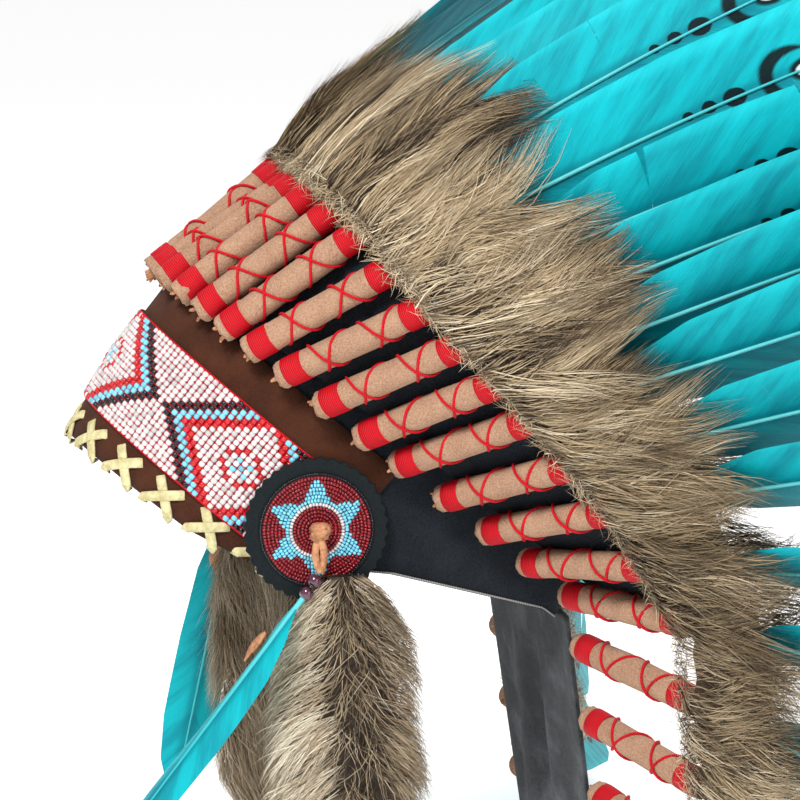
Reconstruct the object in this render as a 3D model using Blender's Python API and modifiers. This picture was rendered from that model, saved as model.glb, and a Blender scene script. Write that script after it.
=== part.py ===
"""A feathered headdress: a felt hood with a suede brow band and a beaded strip, a fan of felt-wrapped
quill rolls with dyed feathers, a fur collar, two rosettes with their drops, and a felt trailer.

Metres, +Z up, the front faces -Y and the wearer's left is +X. The origin is the middle of the head
opening, level with the middle of the beaded strip. The crown is tilted back about X, as it is worn.
"""

import math
from collections import namedtuple

import bmesh
import bpy
from mathutils import Matrix, Vector

# Head opening and hood
HEAD_LENGTH = 0.198
HEAD_WIDTH = 0.148
CROWN_TILT = math.radians(41)
HOOD_BACK = 0.146
HOOD_HALF_WIDTH = 0.080
HOOD_CORNER = 0.010
DOME_HEIGHT = 0.060
DOME_SEAM = 0.0015
LOW_FLARE = math.radians(8.5)
TOP_FLARE = math.radians(2)

# Sheet materials
FELT = 0.0020
SUEDE = 0.0018
LEATHER = 0.0022
BEADWORK = 0.0024
GAP = 0.0003

# Brow band, beaded strip and roll line, as heights from the middle of the strip
BAND_BELOW = 0.046
BAND_ABOVE = 0.048
STRIP_WIDTH = 0.052
LINE_LEVEL = 0.045
LINE_RISE = 0.009
BAND_REACH = 0.61
BAND_STEPS = 15
STRIP_STEPS = 12
HEM = 0.0020

# Plumes
ROLL_LENGTH = 0.089
ROLL_DIAMETER = 0.015
ROLL_SEAT = 0.84
QUILL_DIAMETER = 0.0036
FEATHER_LENGTH = 0.300
VANE_WIDTH = 0.062
VANE_EDGE = 0.0008
VANE_CAMBER = 0.0025
VANE_RIDGE = 0.2
SHINGLE = math.radians(11.5)
BARE_QUILL = 0.070

# Backing under the rolls
BACKING_START = 0.009
BACKING_SHORT = 0.006
BACKING_CLEARANCE = 0.0009

# Fur collar
COLLAR_START = 0.0034
COLLAR_LENGTH = 0.107
COLLAR_INNER_LENGTH = 0.086
COLLAR_NOTCH = 0.026
COLLAR_FRONT = 0.62
COLLAR_FULL_AT = 12
COLLAR_DEPTH = 0.0225
COLLAR_INNER_DEPTH = 0.0225

# Trailer
TRAILER_LENGTH = 0.168
TRAILER_HALF_WIDTH = 0.083
TRAILER_TAPER = 0.92
TRAILER_SWAY = 0.14
TRAILER_FOLD = 0.005
TRAILER_FOLDS = 2.5

# Rosettes and drops
ROSETTE_PLACE = 0.555
ROSETTE_TURN = math.radians(3)
BACKING_RADIUS = 0.037
PINKING = 0.0016
PINKING_TEETH = 36
ROSETTE_RADIUS = 0.029
ROSETTE_THICK = 0.0030
ROSETTE_DOME = 0.0016
KNOT_DIAMETER = 0.0100
THONG_DIAMETER = 0.0042
THONG_DROP = 0.020
DROP_BEAD = 0.0072
DROP_QUILL_POINT = 0.8
FUR_DROP_LENGTH = 0.205
FUR_DROP_WIDTH = 0.082
FUR_DROP_DEPTH = 0.034
FUR_TIERS = 6
FUR_TIP = 1.0
FUR_CORE = 0.84
FUR_LOCK = 0.007
FUR_STEP = 0.001
DROP_FEATHER_LENGTH = 0.175
DROP_FEATHER_WIDTH = 0.036
DROP_FEATHER_BARE = 0.020

# Each row is one plume from the front centre back: the free space before it, in parts of all free
# space along the side of the hood, then where it points and how far its feather bends down.
Plume = namedtuple("Plume", "spread heading pitch bend")
HOOD_PLUMES = (
    Plume(0.0, 0, 32, 8),
    Plume(1.5, 4, 35, 10),
    Plume(2.2, 9, 37, 12),
    Plume(2.3, 14, 37, 13),
    Plume(2.3, 20, 36, 13),
    Plume(3.0, 26, 31, 10),
    Plume(6.0, 31, 27, 7),
    Plume(10.0, 36, 26, 5),
    Plume(11.5, 41, 25, 3),
    Plume(12.0, 45, 23, 2),
    Plume(17.5, 50, 20, 2),
    Plume(16.5, 55, 17, 2),
    Plume(15.5, 60, 10, 2),
    Plume(16.0, 64, 3, 3),
)

# Each row is one plume down the side of the trailer: its share of the trailer's length, and the same.
TrailerPlume = namedtuple("TrailerPlume", "drop heading pitch bend")
TRAILER_PLUMES = (
    TrailerPlume(0.09, 66, -5, 4),
    TrailerPlume(0.33, 66, -8, 4),
    TrailerPlume(0.58, 66, -11, 4),
    TrailerPlume(0.83, 66, -13, 4),
)

# The lower edge of band and hood: share of the hood's side, and height as a share of BAND_BELOW
# where it is below the middle of the strip, or of LINE_LEVEL where it is above.
Edge = namedtuple("Edge", "along height")
LOWER_EDGE = (
    Edge(0.00, -1.00),
    Edge(0.38, -0.90),
    Edge(0.50, -0.76),
    Edge(0.62, -0.36),
    Edge(0.73, 0.07),
    Edge(0.88, 0.50),
    Edge(1.00, 0.84),
)

# The outline of one vane: share of its length, and half width as a share of VANE_WIDTH.
VaneRow = namedtuple("VaneRow", "along half")
VANE_ROWS = (
    VaneRow(0.00, 0.06),
    VaneRow(0.12, 0.36),
    VaneRow(0.34, 0.48),
    VaneRow(0.66, 0.50),
    VaneRow(0.86, 0.42),
    VaneRow(0.96, 0.24),
    VaneRow(1.00, 0.07),
)

# The outline of a fur drop: share of its length, then shares of its width (its own width and how far
# back its middle lies) and of its depth (its own depth and how far out from the thong its middle is).
FurRow = namedtuple("FurRow", "along width back depth out")
FUR_ROWS = (
    FurRow(0.00, 0.18, 0.12, 0.20, 0.00),
    FurRow(0.08, 0.52, 0.14, 0.30, -0.005),
    FurRow(0.25, 0.90, 0.18, 0.87, -0.275),
    FurRow(0.60, 1.00, 0.20, 1.00, -0.30),
    FurRow(0.85, 0.90, 0.19, 0.85, -0.30),
    FurRow(1.00, 0.42, 0.17, 0.40, -0.30),
)

# The section of one side of the fur collar: share of its length, and of its depth off the quills.
CollarRow = namedtuple("CollarRow", "along depth")
COLLAR_ROWS = (
    CollarRow(0.00, 0.00),
    CollarRow(0.00, 0.55),
    CollarRow(0.35, 1.00),
    CollarRow(0.70, 1.00),
    CollarRow(1.00, 0.94),
    CollarRow(0.50, 0.46),
)

# The profile of a rosette: share of its radius, and how far below its middle, in parts of the dome.
DiscRow = namedtuple("DiscRow", "radius sunk")
DISC_ROWS = (
    DiscRow(1.00, 1.0),
    DiscRow(0.60, 0.3),
    DiscRow(0.15, 0.0),
)

# The knot and thong: height in knot diameters, and thickness as a share from thong to knot.
KnotRow = namedtuple("KnotRow", "up swell")
KNOT_ROWS = (
    KnotRow(0.45, 0.0),
    KnotRow(0.20, 1.0),
    KnotRow(-0.20, 1.0),
    KnotRow(-0.50, 0.0),
)

RING_SIDES = 8
DISC_SIDES = 20
BEAD_SIDES = 10
BEAD_RINGS = 6
FUR_SIDES = 12
SIDE_STEPS = 5
CORNER_STEPS = 2
BACK_STEPS = 4
DOME_RINGS = 3
TRAILER_STEPS = 10
TRAILER_ROWS = 5
ROLL_RADIUS = ROLL_DIAMETER / 2
CROWN = Matrix.Rotation(-CROWN_TILT, 3, "X")
WORLD_DOWN = Vector((0, 0, -1))


def clear_scene():
    for thing in list(bpy.data.objects):
        bpy.data.objects.remove(thing, do_unlink=True)


def material(name, colour, roughness):
    made = bpy.data.materials.new(name)
    made.use_nodes = True
    shader = made.node_tree.nodes["Principled BSDF"]
    shader.inputs["Base Color"].default_value = (*colour, 1)
    shader.inputs["Roughness"].default_value = roughness
    shader.inputs["Metallic"].default_value = 0
    return made


def mesh_object(name, bm, finish, collection):
    """Makes one named object of a bmesh, with its normals outward."""
    mesh = bpy.data.meshes.new(name)
    bmesh.ops.recalc_face_normals(bm, faces=bm.faces)
    bm.to_mesh(mesh)
    bm.free()
    mesh.shade_smooth()
    mesh.set_sharp_from_angle(angle=math.radians(40))
    mesh.materials.append(finish)
    made = bpy.data.objects.new(name, mesh)
    collection.objects.link(made)
    return made


def loft(rings):
    """A closed body through rings of equally many points, with a flat cap at each end."""
    bm = bmesh.new()
    rows = [[bm.verts.new(point) for point in ring] for ring in rings]
    count = len(rows[0])
    for near, far in zip(rows, rows[1:]):
        for k in range(count):
            after = (k + 1) % count
            bm.faces.new((near[k], near[after], far[after], far[k]))
    bm.faces.new(rows[0])
    bm.faces.new(rows[-1])
    return bm


def sheet(rows, closed=False):
    """An open surface through rows of points, joined round where closed is set."""
    bm = bmesh.new()
    made = [[bm.verts.new(point) for point in row] for row in rows]
    count = len(made[0])
    for near, far in zip(made, made[1:]):
        for k in range(count if closed else count - 1):
            after = (k + 1) % count
            bm.faces.new((near[k], near[after], far[after], far[k]))
    return bm, made


def face_sheet_towards(bm, point, outward):
    """Turns a sheet's faces so that the one nearest to point looks along outward."""
    bmesh.ops.recalc_face_normals(bm, faces=bm.faces)
    nearest = min(bm.faces, key=lambda face: (face.calc_center_median() - point).length)
    if nearest.normal.dot(outward) < 0:
        bmesh.ops.reverse_faces(bm, faces=bm.faces)


def shell_object(name, bm, thickness, finish, collection):
    """A sheet made solid by a Solidify that grows inward from its outer face."""
    mesh = bpy.data.meshes.new(name)
    bm.to_mesh(mesh)
    bm.free()
    mesh.shade_smooth()
    mesh.materials.append(finish)
    made = bpy.data.objects.new(name, mesh)
    collection.objects.link(made)
    solidify = made.modifiers.new("wall", "SOLIDIFY")
    solidify.thickness = thickness
    solidify.offset = -1
    solidify.use_even_offset = True
    return made


def lerp(a, b, share):
    return a + (b - a) * share


def between_rows(rows, at):
    """The second column of a table at a value of its first, in a straight line from row to row."""
    if at <= rows[0][0]:
        return rows[0][1]
    for (left, low), (right, high) in zip(rows, rows[1:]):
        if at <= right:
            return lerp(low, high, (at - left) / (right - left))
    return rows[-1][1]


class Outline:
    """Half of the hood's plan at the middle of the strip, walked from the front centre to the back."""

    ARC_STEPS = 60

    def __init__(self):
        length = HEAD_LENGTH / 2 + FELT
        width = HEAD_WIDTH / 2 + FELT
        side_end = HOOD_BACK - HOOD_CORNER
        points = []
        for k in range(self.ARC_STEPS):
            angle = math.radians(90) * k / self.ARC_STEPS
            points.append(Vector((width * math.sin(angle), length * math.cos(angle))))
        for k in range(self.ARC_STEPS):
            share = k / self.ARC_STEPS
            spread = share * share * (3 - 2 * share)
            points.append(Vector((lerp(width, HOOD_HALF_WIDTH, spread), -side_end * share)))
        centre = Vector((HOOD_HALF_WIDTH - HOOD_CORNER, -side_end))
        corner_at = len(points)
        for k in range(self.ARC_STEPS):
            angle = math.radians(90) * k / self.ARC_STEPS
            points.append(centre + HOOD_CORNER * Vector((math.cos(angle), -math.sin(angle))))
        back_at = len(points)
        points.append(centre + Vector((0, -HOOD_CORNER)))
        points.append(Vector((0, -HOOD_BACK)))
        self.points = points
        self.lengths = [0.0]
        for a, b in zip(points, points[1:]):
            self.lengths.append(self.lengths[-1] + (b - a).length)
        self.side = self.lengths[corner_at]
        self.back = self.lengths[back_at]
        self.whole = self.lengths[-1]

    def at(self, distance):
        """The plan point and outward normal at a distance, mirrored for a negative one."""
        sign = -1 if distance < 0 else 1
        reach = min(abs(distance), self.whole)
        k = 0
        while k < len(self.lengths) - 2 and self.lengths[k + 1] < reach:
            k += 1
        near, far = self.points[k], self.points[k + 1]
        share = (reach - self.lengths[k]) / (self.lengths[k + 1] - self.lengths[k])
        point = near.lerp(far, share)
        before = self.points[max(k - 1, 0)]
        after = self.points[min(k + 2, len(self.points) - 1)]
        along = (far - before).normalized().lerp((after - near).normalized(), share)
        if reach < self.lengths[1]:
            along = Vector((1, 0)).lerp(along, reach / self.lengths[1])
        normal = Vector((-along.y, along.x)).normalized()
        return Vector((sign * point.x, point.y)), Vector((sign * normal.x, normal.y))


OUTLINE = Outline()


def flare(level):
    return level * math.tan(LOW_FLARE if level < 0 else TOP_FLARE)


def wall_point(distance, level, out):
    """A point of the crown's own frame: out from the hood's outer face, at a level."""
    point, normal = OUTLINE.at(distance)
    moved = point + normal * (out + flare(level))
    return Vector((moved.x, -moved.y, level))


def line_level(distance):
    return LINE_LEVEL + LINE_RISE * min(abs(distance) / OUTLINE.side, 1)


def edge_level(distance):
    height = between_rows(LOWER_EDGE, abs(distance) / OUTLINE.side)
    return height * (BAND_BELOW if height < 0 else LINE_LEVEL)


def band_distances(steps):
    reach = BAND_REACH * OUTLINE.side
    return [reach * k / BAND_STEPS for k in range(-steps, steps + 1)]


def hood_distances():
    """The band's own columns, then on round the back, so that band and hood have like facets."""
    front = band_distances(BAND_STEPS)
    reach = front[-1]
    half = []
    for start, end, steps in (
        (reach, OUTLINE.side, SIDE_STEPS),
        (OUTLINE.side, OUTLINE.back, CORNER_STEPS),
        (OUTLINE.back, OUTLINE.whole, BACK_STEPS),
    ):
        half += [lerp(start, end, k / steps) for k in range(1, steps + 1)]
    return [-d for d in reversed(half[:-1])] + front + half


def middle_level(distance):
    """Where the wall changes its slope: level with the strip's middle, or halfway up a higher edge."""
    foot = edge_level(distance) + HEM
    return 0.0 if foot < -HEM else lerp(foot, line_level(distance), 0.5)


def make_hood_side(side, word, finish, collection):
    """One side of the hood's wall, from the front seam round to the seam at the back."""
    seam = 1.5 * GAP
    half = [d for d in hood_distances() if seam < d < OUTLINE.whole - seam]
    distances = [side * d for d in (seam, *half, OUTLINE.whole - seam)]
    rows = [
        [wall_point(d, edge_level(d) + HEM, 0) for d in distances],
        [wall_point(d, middle_level(d), 0) for d in distances],
        [wall_point(d, line_level(d) + HEM, 0) for d in distances],
    ]
    bm, _ = sheet(rows)
    nearest = min(range(len(distances)), key=lambda k: abs(abs(distances[k]) - OUTLINE.side / 2))
    face_sheet_towards(bm, rows[1][nearest], Vector((side, 0, 0)))
    return shell_object(f"hood_side_{word}", bm, FELT, finish, collection)


def make_dome(finish, collection):
    """The hood's crown, sewn to the top of its sides."""
    distances = hood_distances()
    feet = [wall_point(d, line_level(d) + HEM + DOME_SEAM, 0) for d in distances]
    middle = Vector((0, (HOOD_BACK - HEAD_LENGTH / 2) / 2, 0))
    rows = []
    for k in range(DOME_RINGS):
        angle = math.radians(90) * k / DOME_RINGS
        ring = []
        for foot in feet:
            level = foot.z + DOME_HEIGHT * math.sin(angle)
            flat = middle + (Vector((foot.x, foot.y, 0)) - middle) * math.cos(angle)
            ring.append(Vector((flat.x, flat.y, level)))
        rows.append(ring)
    bm, made = sheet(rows, closed=True)
    summit = LINE_LEVEL + LINE_RISE / 2 + HEM + DOME_SEAM + DOME_HEIGHT
    top = bm.verts.new(middle + Vector((0, 0, summit)))
    last = made[-1]
    for k, corner in enumerate(last):
        bm.faces.new((corner, last[(k + 1) % len(last)], top))
    face_sheet_towards(bm, top.co, Vector((0, 0, 1)))
    return shell_object("felt_cap", bm, FELT, finish, collection)


def make_band(finish, collection):
    out = GAP + SUEDE
    distances = band_distances(BAND_STEPS)
    rows = [
        [wall_point(d, edge_level(d), out) for d in distances],
        [wall_point(d, max(0.0, edge_level(d) + HEM), out) for d in distances],
        [wall_point(d, BAND_ABOVE, out) for d in distances],
    ]
    bm, _ = sheet(rows)
    face_sheet_towards(bm, rows[1][BAND_STEPS], Vector((0, -1, 0)))
    return shell_object("suede_band", bm, SUEDE, finish, collection)


def make_strip(finish, collection):
    out = 2 * GAP + SUEDE + BEADWORK
    distances = band_distances(STRIP_STEPS)
    levels = (-STRIP_WIDTH / 2, 0.0, STRIP_WIDTH / 2)
    rows = [[wall_point(d, level, out) for d in distances] for level in levels]
    bm, _ = sheet(rows)
    face_sheet_towards(bm, rows[1][STRIP_STEPS], Vector((0, -1, 0)))
    return shell_object("beaded_strip", bm, BEADWORK, finish, collection)


def direction(heading, pitch, side):
    """A unit vector: heading is turned out from straight back, pitch is up from level."""
    flat = math.cos(math.radians(pitch))
    return Vector(
        (
            side * flat * math.sin(math.radians(heading)),
            flat * math.cos(math.radians(heading)),
            math.sin(math.radians(pitch)),
        )
    )


def trailer_point(across, drop, behind=0.0):
    """A point of the trailer's middle face, in the world: across is -1 to 1, drop is a length."""
    seat_out = GAP + FELT / 2 * math.cos(CROWN_TILT)
    top = CROWN @ wall_point(OUTLINE.whole, LINE_LEVEL, seat_out)
    share = drop / TRAILER_LENGTH
    half = TRAILER_HALF_WIDTH * lerp(1, TRAILER_TAPER, share)
    fold = TRAILER_FOLD * share * (1 - abs(across)) * math.cos(TRAILER_FOLDS * math.pi * across)
    return Vector((across * half, top.y + TRAILER_SWAY * drop + behind + fold, top.z - drop))


Seat = namedtuple("Seat", "name base axis bend")


def plume_seats():
    """Every plume from the far end of the right side round the front to the left side's end."""
    seat_out = 4 * GAP + max(SUEDE, FELT) + BACKING_CLEARANCE + ROLL_RADIUS
    gap = ROLL_SEAT * ROLL_DIAMETER
    free = OUTLINE.side - gap * (len(HOOD_PLUMES) - 1)
    parts = sum(row.spread for row in HOOD_PLUMES)
    seats = {}
    for side, word in ((1, "left"), (-1, "right")):
        distance = 0.0
        for k, row in enumerate(HOOD_PLUMES):
            if k:
                distance += gap + free * row.spread / parts
            base = CROWN @ wall_point(side * distance, line_level(distance), seat_out)
            axis = direction(row.heading, row.pitch, side)
            name = f"plume_{word}_{k + 1:02d}" if k else "plume_centre"
            seats[side * k] = Seat(name, base, axis, math.radians(row.bend))
        for k, row in enumerate(TRAILER_PLUMES, start=len(HOOD_PLUMES)):
            axis = direction(row.heading, row.pitch, side)
            edge = trailer_point(side, row.drop * TRAILER_LENGTH, ROLL_RADIUS / 2)
            base = edge + Vector((side * (ROLL_RADIUS * axis.y + 3 * GAP), 0, 0))
            seats[side * k] = Seat(f"plume_{word}_{k + 1:02d}", base, axis, math.radians(row.bend))
    return [seats[k] for k in sorted(seats)]


def plume_frames(seats):
    """The side, face and axis of each plume. The face looks out of the fan."""
    frames = []
    for k, seat in enumerate(seats):
        before = seats[max(k - 1, 0)].base
        after = seats[min(k + 1, len(seats) - 1)].base
        along = (after - before).normalized()
        face = along.cross(seat.axis).normalized()
        frames.append(Matrix((face.cross(seat.axis), face, seat.axis)).transposed())
    return frames


def bend_shift(frame, bend, reach):
    """How far the bent feather has left its roll's line, in the plume's own frame."""
    beyond = max(reach - ROLL_LENGTH, 0.0)
    down = frame.transposed() @ WORLD_DOWN
    down.z = 0
    angle = bend * beyond / FEATHER_LENGTH
    if down.length < 1e-6 or angle < 1e-6:
        return Vector((0, 0, 0))
    radius = beyond / angle
    shift = down.normalized() * radius * (1 - math.cos(angle))
    shift.z = radius * math.sin(angle) - beyond
    return shift


def round_ring(radius, reach):
    ring = []
    for k in range(RING_SIDES):
        angle = math.tau * (k + 0.5) / RING_SIDES
        ring.append(Vector((radius * math.cos(angle), radius * math.sin(angle), reach)))
    return ring


def vane_ring(half, reach, lean):
    """A flat section with the quill's ridge in its middle, its edges drawn back and leaned over."""
    ridge = QUILL_DIAMETER / 2
    inner = min(half * VANE_RIDGE, ridge)
    drawn = VANE_CAMBER * (2 * half / VANE_WIDTH) ** 2
    edge = VANE_EDGE / 2
    ring = []
    for x, y in (
        (half, edge - drawn),
        (inner, ridge),
        (-inner, ridge),
        (-half, edge - drawn),
        (-half, -edge - drawn),
        (-inner, -ridge),
        (inner, -ridge),
        (half, -edge - drawn),
    ):
        turned = Vector((x, y)) @ Matrix.Rotation(-lean, 2)
        ring.append(Vector((turned.x, turned.y, reach)))
    return ring


def make_plume(seat, frame, side, finish, collection):
    quill = QUILL_DIAMETER / 2
    start = ROLL_LENGTH + BARE_QUILL
    rings = [
        round_ring(ROLL_RADIUS, 0),
        round_ring(ROLL_RADIUS, ROLL_LENGTH),
        round_ring(quill, ROLL_LENGTH),
    ]
    for row in VANE_ROWS:
        reach = lerp(start, ROLL_LENGTH + FEATHER_LENGTH, row.along)
        half = max(row.half * VANE_WIDTH, quill)
        rings.append(vane_ring(half, reach, side * SHINGLE))
    moved = [[point + bend_shift(frame, seat.bend, point.z) for point in ring] for ring in rings]
    made = mesh_object(seat.name, loft(moved), finish, collection)
    made.location = seat.base
    made.rotation_euler = frame.to_euler()
    return made


def fan_columns(seats, frames):
    """Seats with one more halfway between each two, for what runs across the whole fan."""
    columns = []
    for k, (seat, frame) in enumerate(zip(seats, frames)):
        columns.append((seat.base, frame, seat.bend))
        if k + 1 < len(seats):
            after = seats[k + 1]
            axis = (seat.axis + after.axis).normalized()
            face = (frame.col[1] + frames[k + 1].col[1])
            face = (face - axis * face.dot(axis)).normalized()
            between = Matrix((face.cross(axis), face, axis)).transposed()
            base = (seat.base + after.base) / 2
            columns.append((base, between, (seat.bend + after.bend) / 2))
    return columns


def fan_point(column, reach, off):
    base, frame, bend = column
    return base + frame @ (Vector((0, off, reach)) + bend_shift(frame, bend, reach))


def make_backing(columns, finish, collection):
    """The felt that joins the rolls of the hood, but not those down the trailer."""
    off = -(ROLL_RADIUS + BACKING_CLEARANCE)
    end = ROLL_LENGTH - BACKING_SHORT
    rows = [[fan_point(column, reach, off) for column in columns] for reach in (BACKING_START, end)]
    bm, _ = sheet(rows)
    middle = len(columns) // 2
    face_sheet_towards(bm, rows[0][middle], columns[middle][1].col[1])
    return shell_object("felt_backing", bm, FELT, finish, collection)


def make_collar(name, columns, face, whole, depth, finish, collection):
    """One side of the fur collar: a thick roll over the quills whose far edge runs out in locks.

    The fur lies flatter over the brow, and has its whole depth a few plumes further back.
    """
    root = ROLL_LENGTH + COLLAR_START
    near = QUILL_DIAMETER / 2 + 2 * GAP
    middle = len(columns) // 2
    rings = []
    for k, column in enumerate(columns):
        grown = lerp(COLLAR_FRONT, 1.0, min(abs(k - middle) / COLLAR_FULL_AT, 1.0))
        length = whole - (COLLAR_NOTCH if k % 2 else 0)
        ring = []
        for row in COLLAR_ROWS:
            off = face * max(depth * grown * row.depth, near)
            ring.append(fan_point(column, root + length * row.along, off))
        rings.append(ring)
    return mesh_object(name, loft(rings), finish, collection)


def make_trailer(finish, collection):
    places = [-1 + 2 * k / TRAILER_STEPS for k in range(TRAILER_STEPS + 1)]
    drops = [TRAILER_LENGTH * k / TRAILER_ROWS for k in range(TRAILER_ROWS + 1)]
    rows = [[trailer_point(place, drop, FELT / 2) for place in places] for drop in drops]
    bm, _ = sheet(rows)
    face_sheet_towards(bm, rows[0][TRAILER_STEPS // 2], Vector((0, 1, 0)))
    return shell_object("trailer", bm, FELT, finish, collection)


def rosette_frame(side):
    """The middle of a rosette's back and its frame: X across, Y up, Z out of the disc."""
    place = side * ROSETTE_PLACE * OUTLINE.side
    base = CROWN @ wall_point(place, 0.0, 0.0)
    _, normal = OUTLINE.at(place)
    out = CROWN @ Vector((normal.x, -normal.y, 0))
    turned = Matrix.Rotation(-side * ROSETTE_TURN, 3, CROWN @ Vector((0, 0, 1))) @ out
    across = Vector((0, 0, 1)).cross(turned).normalized()
    under = 2 * GAP + SUEDE + BEADWORK
    steps = 6
    stand = 0.0
    for i in range(-steps, steps + 1):
        for k in range(-steps, steps + 1):
            if i * i + k * k <= steps * steps:
                aside, level = BACKING_RADIUS * i / steps, BACKING_RADIUS * k / steps
                point = CROWN @ wall_point(place + aside, level, under)
                stand = max(stand, (point - base).dot(turned))
    frame = Matrix((across, turned.cross(across), turned)).transposed()
    return base + turned * (stand + GAP), frame


def disc_ring(sides, radius_of, level):
    """A level ring round the rosette's middle; radius_of gives the radius of each corner."""
    ring = []
    for k in range(sides):
        angle = math.tau * k / sides
        ring.append(Vector((radius_of(k) * math.cos(angle), radius_of(k) * math.sin(angle), level)))
    return ring


def make_rosette(side, word, leather, beads, collection):
    """A pinked disc of leather with a slightly domed beaded disc on it."""
    base, frame = rosette_frame(side)

    def pinked(k):
        return BACKING_RADIUS - (PINKING if k % 2 else 0)

    rims = [disc_ring(2 * PINKING_TEETH, pinked, level) for level in (0.0, LEATHER)]
    backing = mesh_object(f"rosette_backing_{word}", loft(rims), leather, collection)
    backing.location = base
    backing.rotation_euler = frame.to_euler()

    rings = [disc_ring(DISC_SIDES, lambda k: ROSETTE_RADIUS, 0.0)]
    for row in DISC_ROWS:
        radius = ROSETTE_RADIUS * row.radius
        level = ROSETTE_THICK - ROSETTE_DOME * row.sunk
        rings.append(disc_ring(DISC_SIDES, lambda k, radius=radius: radius, level))
    disc = mesh_object(f"rosette_{word}", loft(rings), beads, collection)
    disc.location = base + frame @ Vector((0, 0, LEATHER + GAP))
    disc.rotation_euler = frame.to_euler()


def disc_point(side, up):
    """A world point in front of a rosette where the thong lies, at a height from its middle."""
    base, frame = rosette_frame(side)
    out = LEATHER + GAP + ROSETTE_THICK + GAP + KNOT_DIAMETER / 2
    return base + frame @ Vector((0, up, out))


def make_thong(side, word, finish, collection):
    """The knot in the middle of the rosette and the thong that hangs from it."""
    curve = bpy.data.curves.new(f"thong_{word}", "CURVE")
    curve.dimensions = "3D"
    curve.bevel_depth = THONG_DIAMETER / 2
    curve.bevel_resolution = 2
    curve.use_fill_caps = True
    curve.materials.append(finish)
    knot = KNOT_DIAMETER / THONG_DIAMETER
    places = [(row.up * KNOT_DIAMETER, lerp(1.0, knot, row.swell)) for row in KNOT_ROWS]
    places.append((-THONG_DROP, 1.0))
    spline = curve.splines.new("POLY")
    spline.points.add(len(places) - 1)
    for point, (up, swell) in zip(spline.points, places):
        point.co = (*disc_point(side, up), 1)
        point.radius = swell
    made = bpy.data.objects.new(f"thong_{word}", curve)
    collection.objects.link(made)


def thong_end(side):
    return disc_point(side, -THONG_DROP)


def bead_direction(side):
    """Where the two beads lie from the thong's end: to the front, and on the right well outside."""
    if side > 0:
        return Vector((0.25, -0.60, -0.76)).normalized()
    return Vector((-0.55, -0.35, -0.76)).normalized()


def feather_direction(side):
    """Where a drop feather points: the left one has swung to the front, the right one hangs."""
    if side > 0:
        return Vector((0.02, -0.62, -0.78)).normalized()
    return Vector((-0.08, -0.20, -0.98)).normalized()


def make_drop_beads(side, word, finish, collection):
    """Two beads in a row from the thong's end along the drop feather's quill."""
    radius = DROP_BEAD / 2
    aim = bead_direction(side)
    centre = thong_end(side) + aim * (THONG_DIAMETER / 4 + radius + GAP)
    for number in (1, 2):
        bm = bmesh.new()
        bmesh.ops.create_uvsphere(
            bm, u_segments=BEAD_SIDES, v_segments=BEAD_RINGS, radius=radius
        )
        bead = mesh_object(f"thong_bead_{word}_{number}", bm, finish, collection)
        bead.location = centre
        bead.rotation_euler = aim.to_track_quat("Z", "Y").to_euler()
        centre = centre + aim * (DROP_BEAD + GAP)
    last = centre - aim * (DROP_BEAD + GAP)
    return last + feather_direction(side) * (radius + GAP)


def make_drop_feather(side, word, start, finish, collection):
    """A single feather from the beads down. The left one shows nearly its edge."""
    aim = feather_direction(side)
    sight = Vector((1, 0.15, 0)) if side > 0 else Vector((0, 1, 0))
    across = (sight - aim * sight.dot(aim)).normalized()
    face = aim.cross(across)
    frame = Matrix((across, face, aim)).transposed()
    quill = QUILL_DIAMETER / 2
    rings = [round_ring(quill * DROP_QUILL_POINT, 0)]
    for row in VANE_ROWS:
        reach = lerp(DROP_FEATHER_BARE, DROP_FEATHER_LENGTH, row.along)
        half = max(row.half * DROP_FEATHER_WIDTH, quill)
        rings.append(vane_ring(half, reach, 0.0))
    made = mesh_object(f"drop_feather_{word}", loft(rings), finish, collection)
    made.location = start
    made.rotation_euler = frame.to_euler()


def fur_row(along):
    """The row of a fur drop's outline at a share of its length."""
    for near, far in zip(FUR_ROWS, FUR_ROWS[1:]):
        if along <= far.along:
            share = (along - near.along) / (far.along - near.along)
            return FurRow(*(lerp(a, b, share) for a, b in zip(near, far)))
    return FUR_ROWS[-1]


def make_fur_drop(side, word, finish, collection):
    """A hanging tail of fur: tiers of locks round a flat core, each tier's tips over the next."""
    rings = []
    for tier in range(FUR_TIERS):
        for along, tip in ((tier / FUR_TIERS, False), ((tier + 1) / FUR_TIERS, True)):
            row = fur_row(along)
            ring = []
            for k in range(FUR_SIDES):
                angle = math.tau * k / FUR_SIDES
                lock = tip and (k + tier) % 2 == 0
                size = FUR_TIP if lock else FUR_CORE
                x = side * FUR_DROP_DEPTH * (row.out + row.depth / 2 * size * math.cos(angle))
                y = FUR_DROP_WIDTH * (row.back + row.width / 2 * size * math.sin(angle))
                drop = along * FUR_DROP_LENGTH + (FUR_LOCK if lock else 0.0)
                ring.append(Vector((x, y, -drop - (0.0 if tip or not tier else FUR_STEP))))
            rings.append(ring)
    made = mesh_object(f"fur_drop_{word}", loft(rings), finish, collection)
    made.location = thong_end(side) - Vector((0, 0, THONG_DIAMETER / 2 + GAP))


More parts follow.
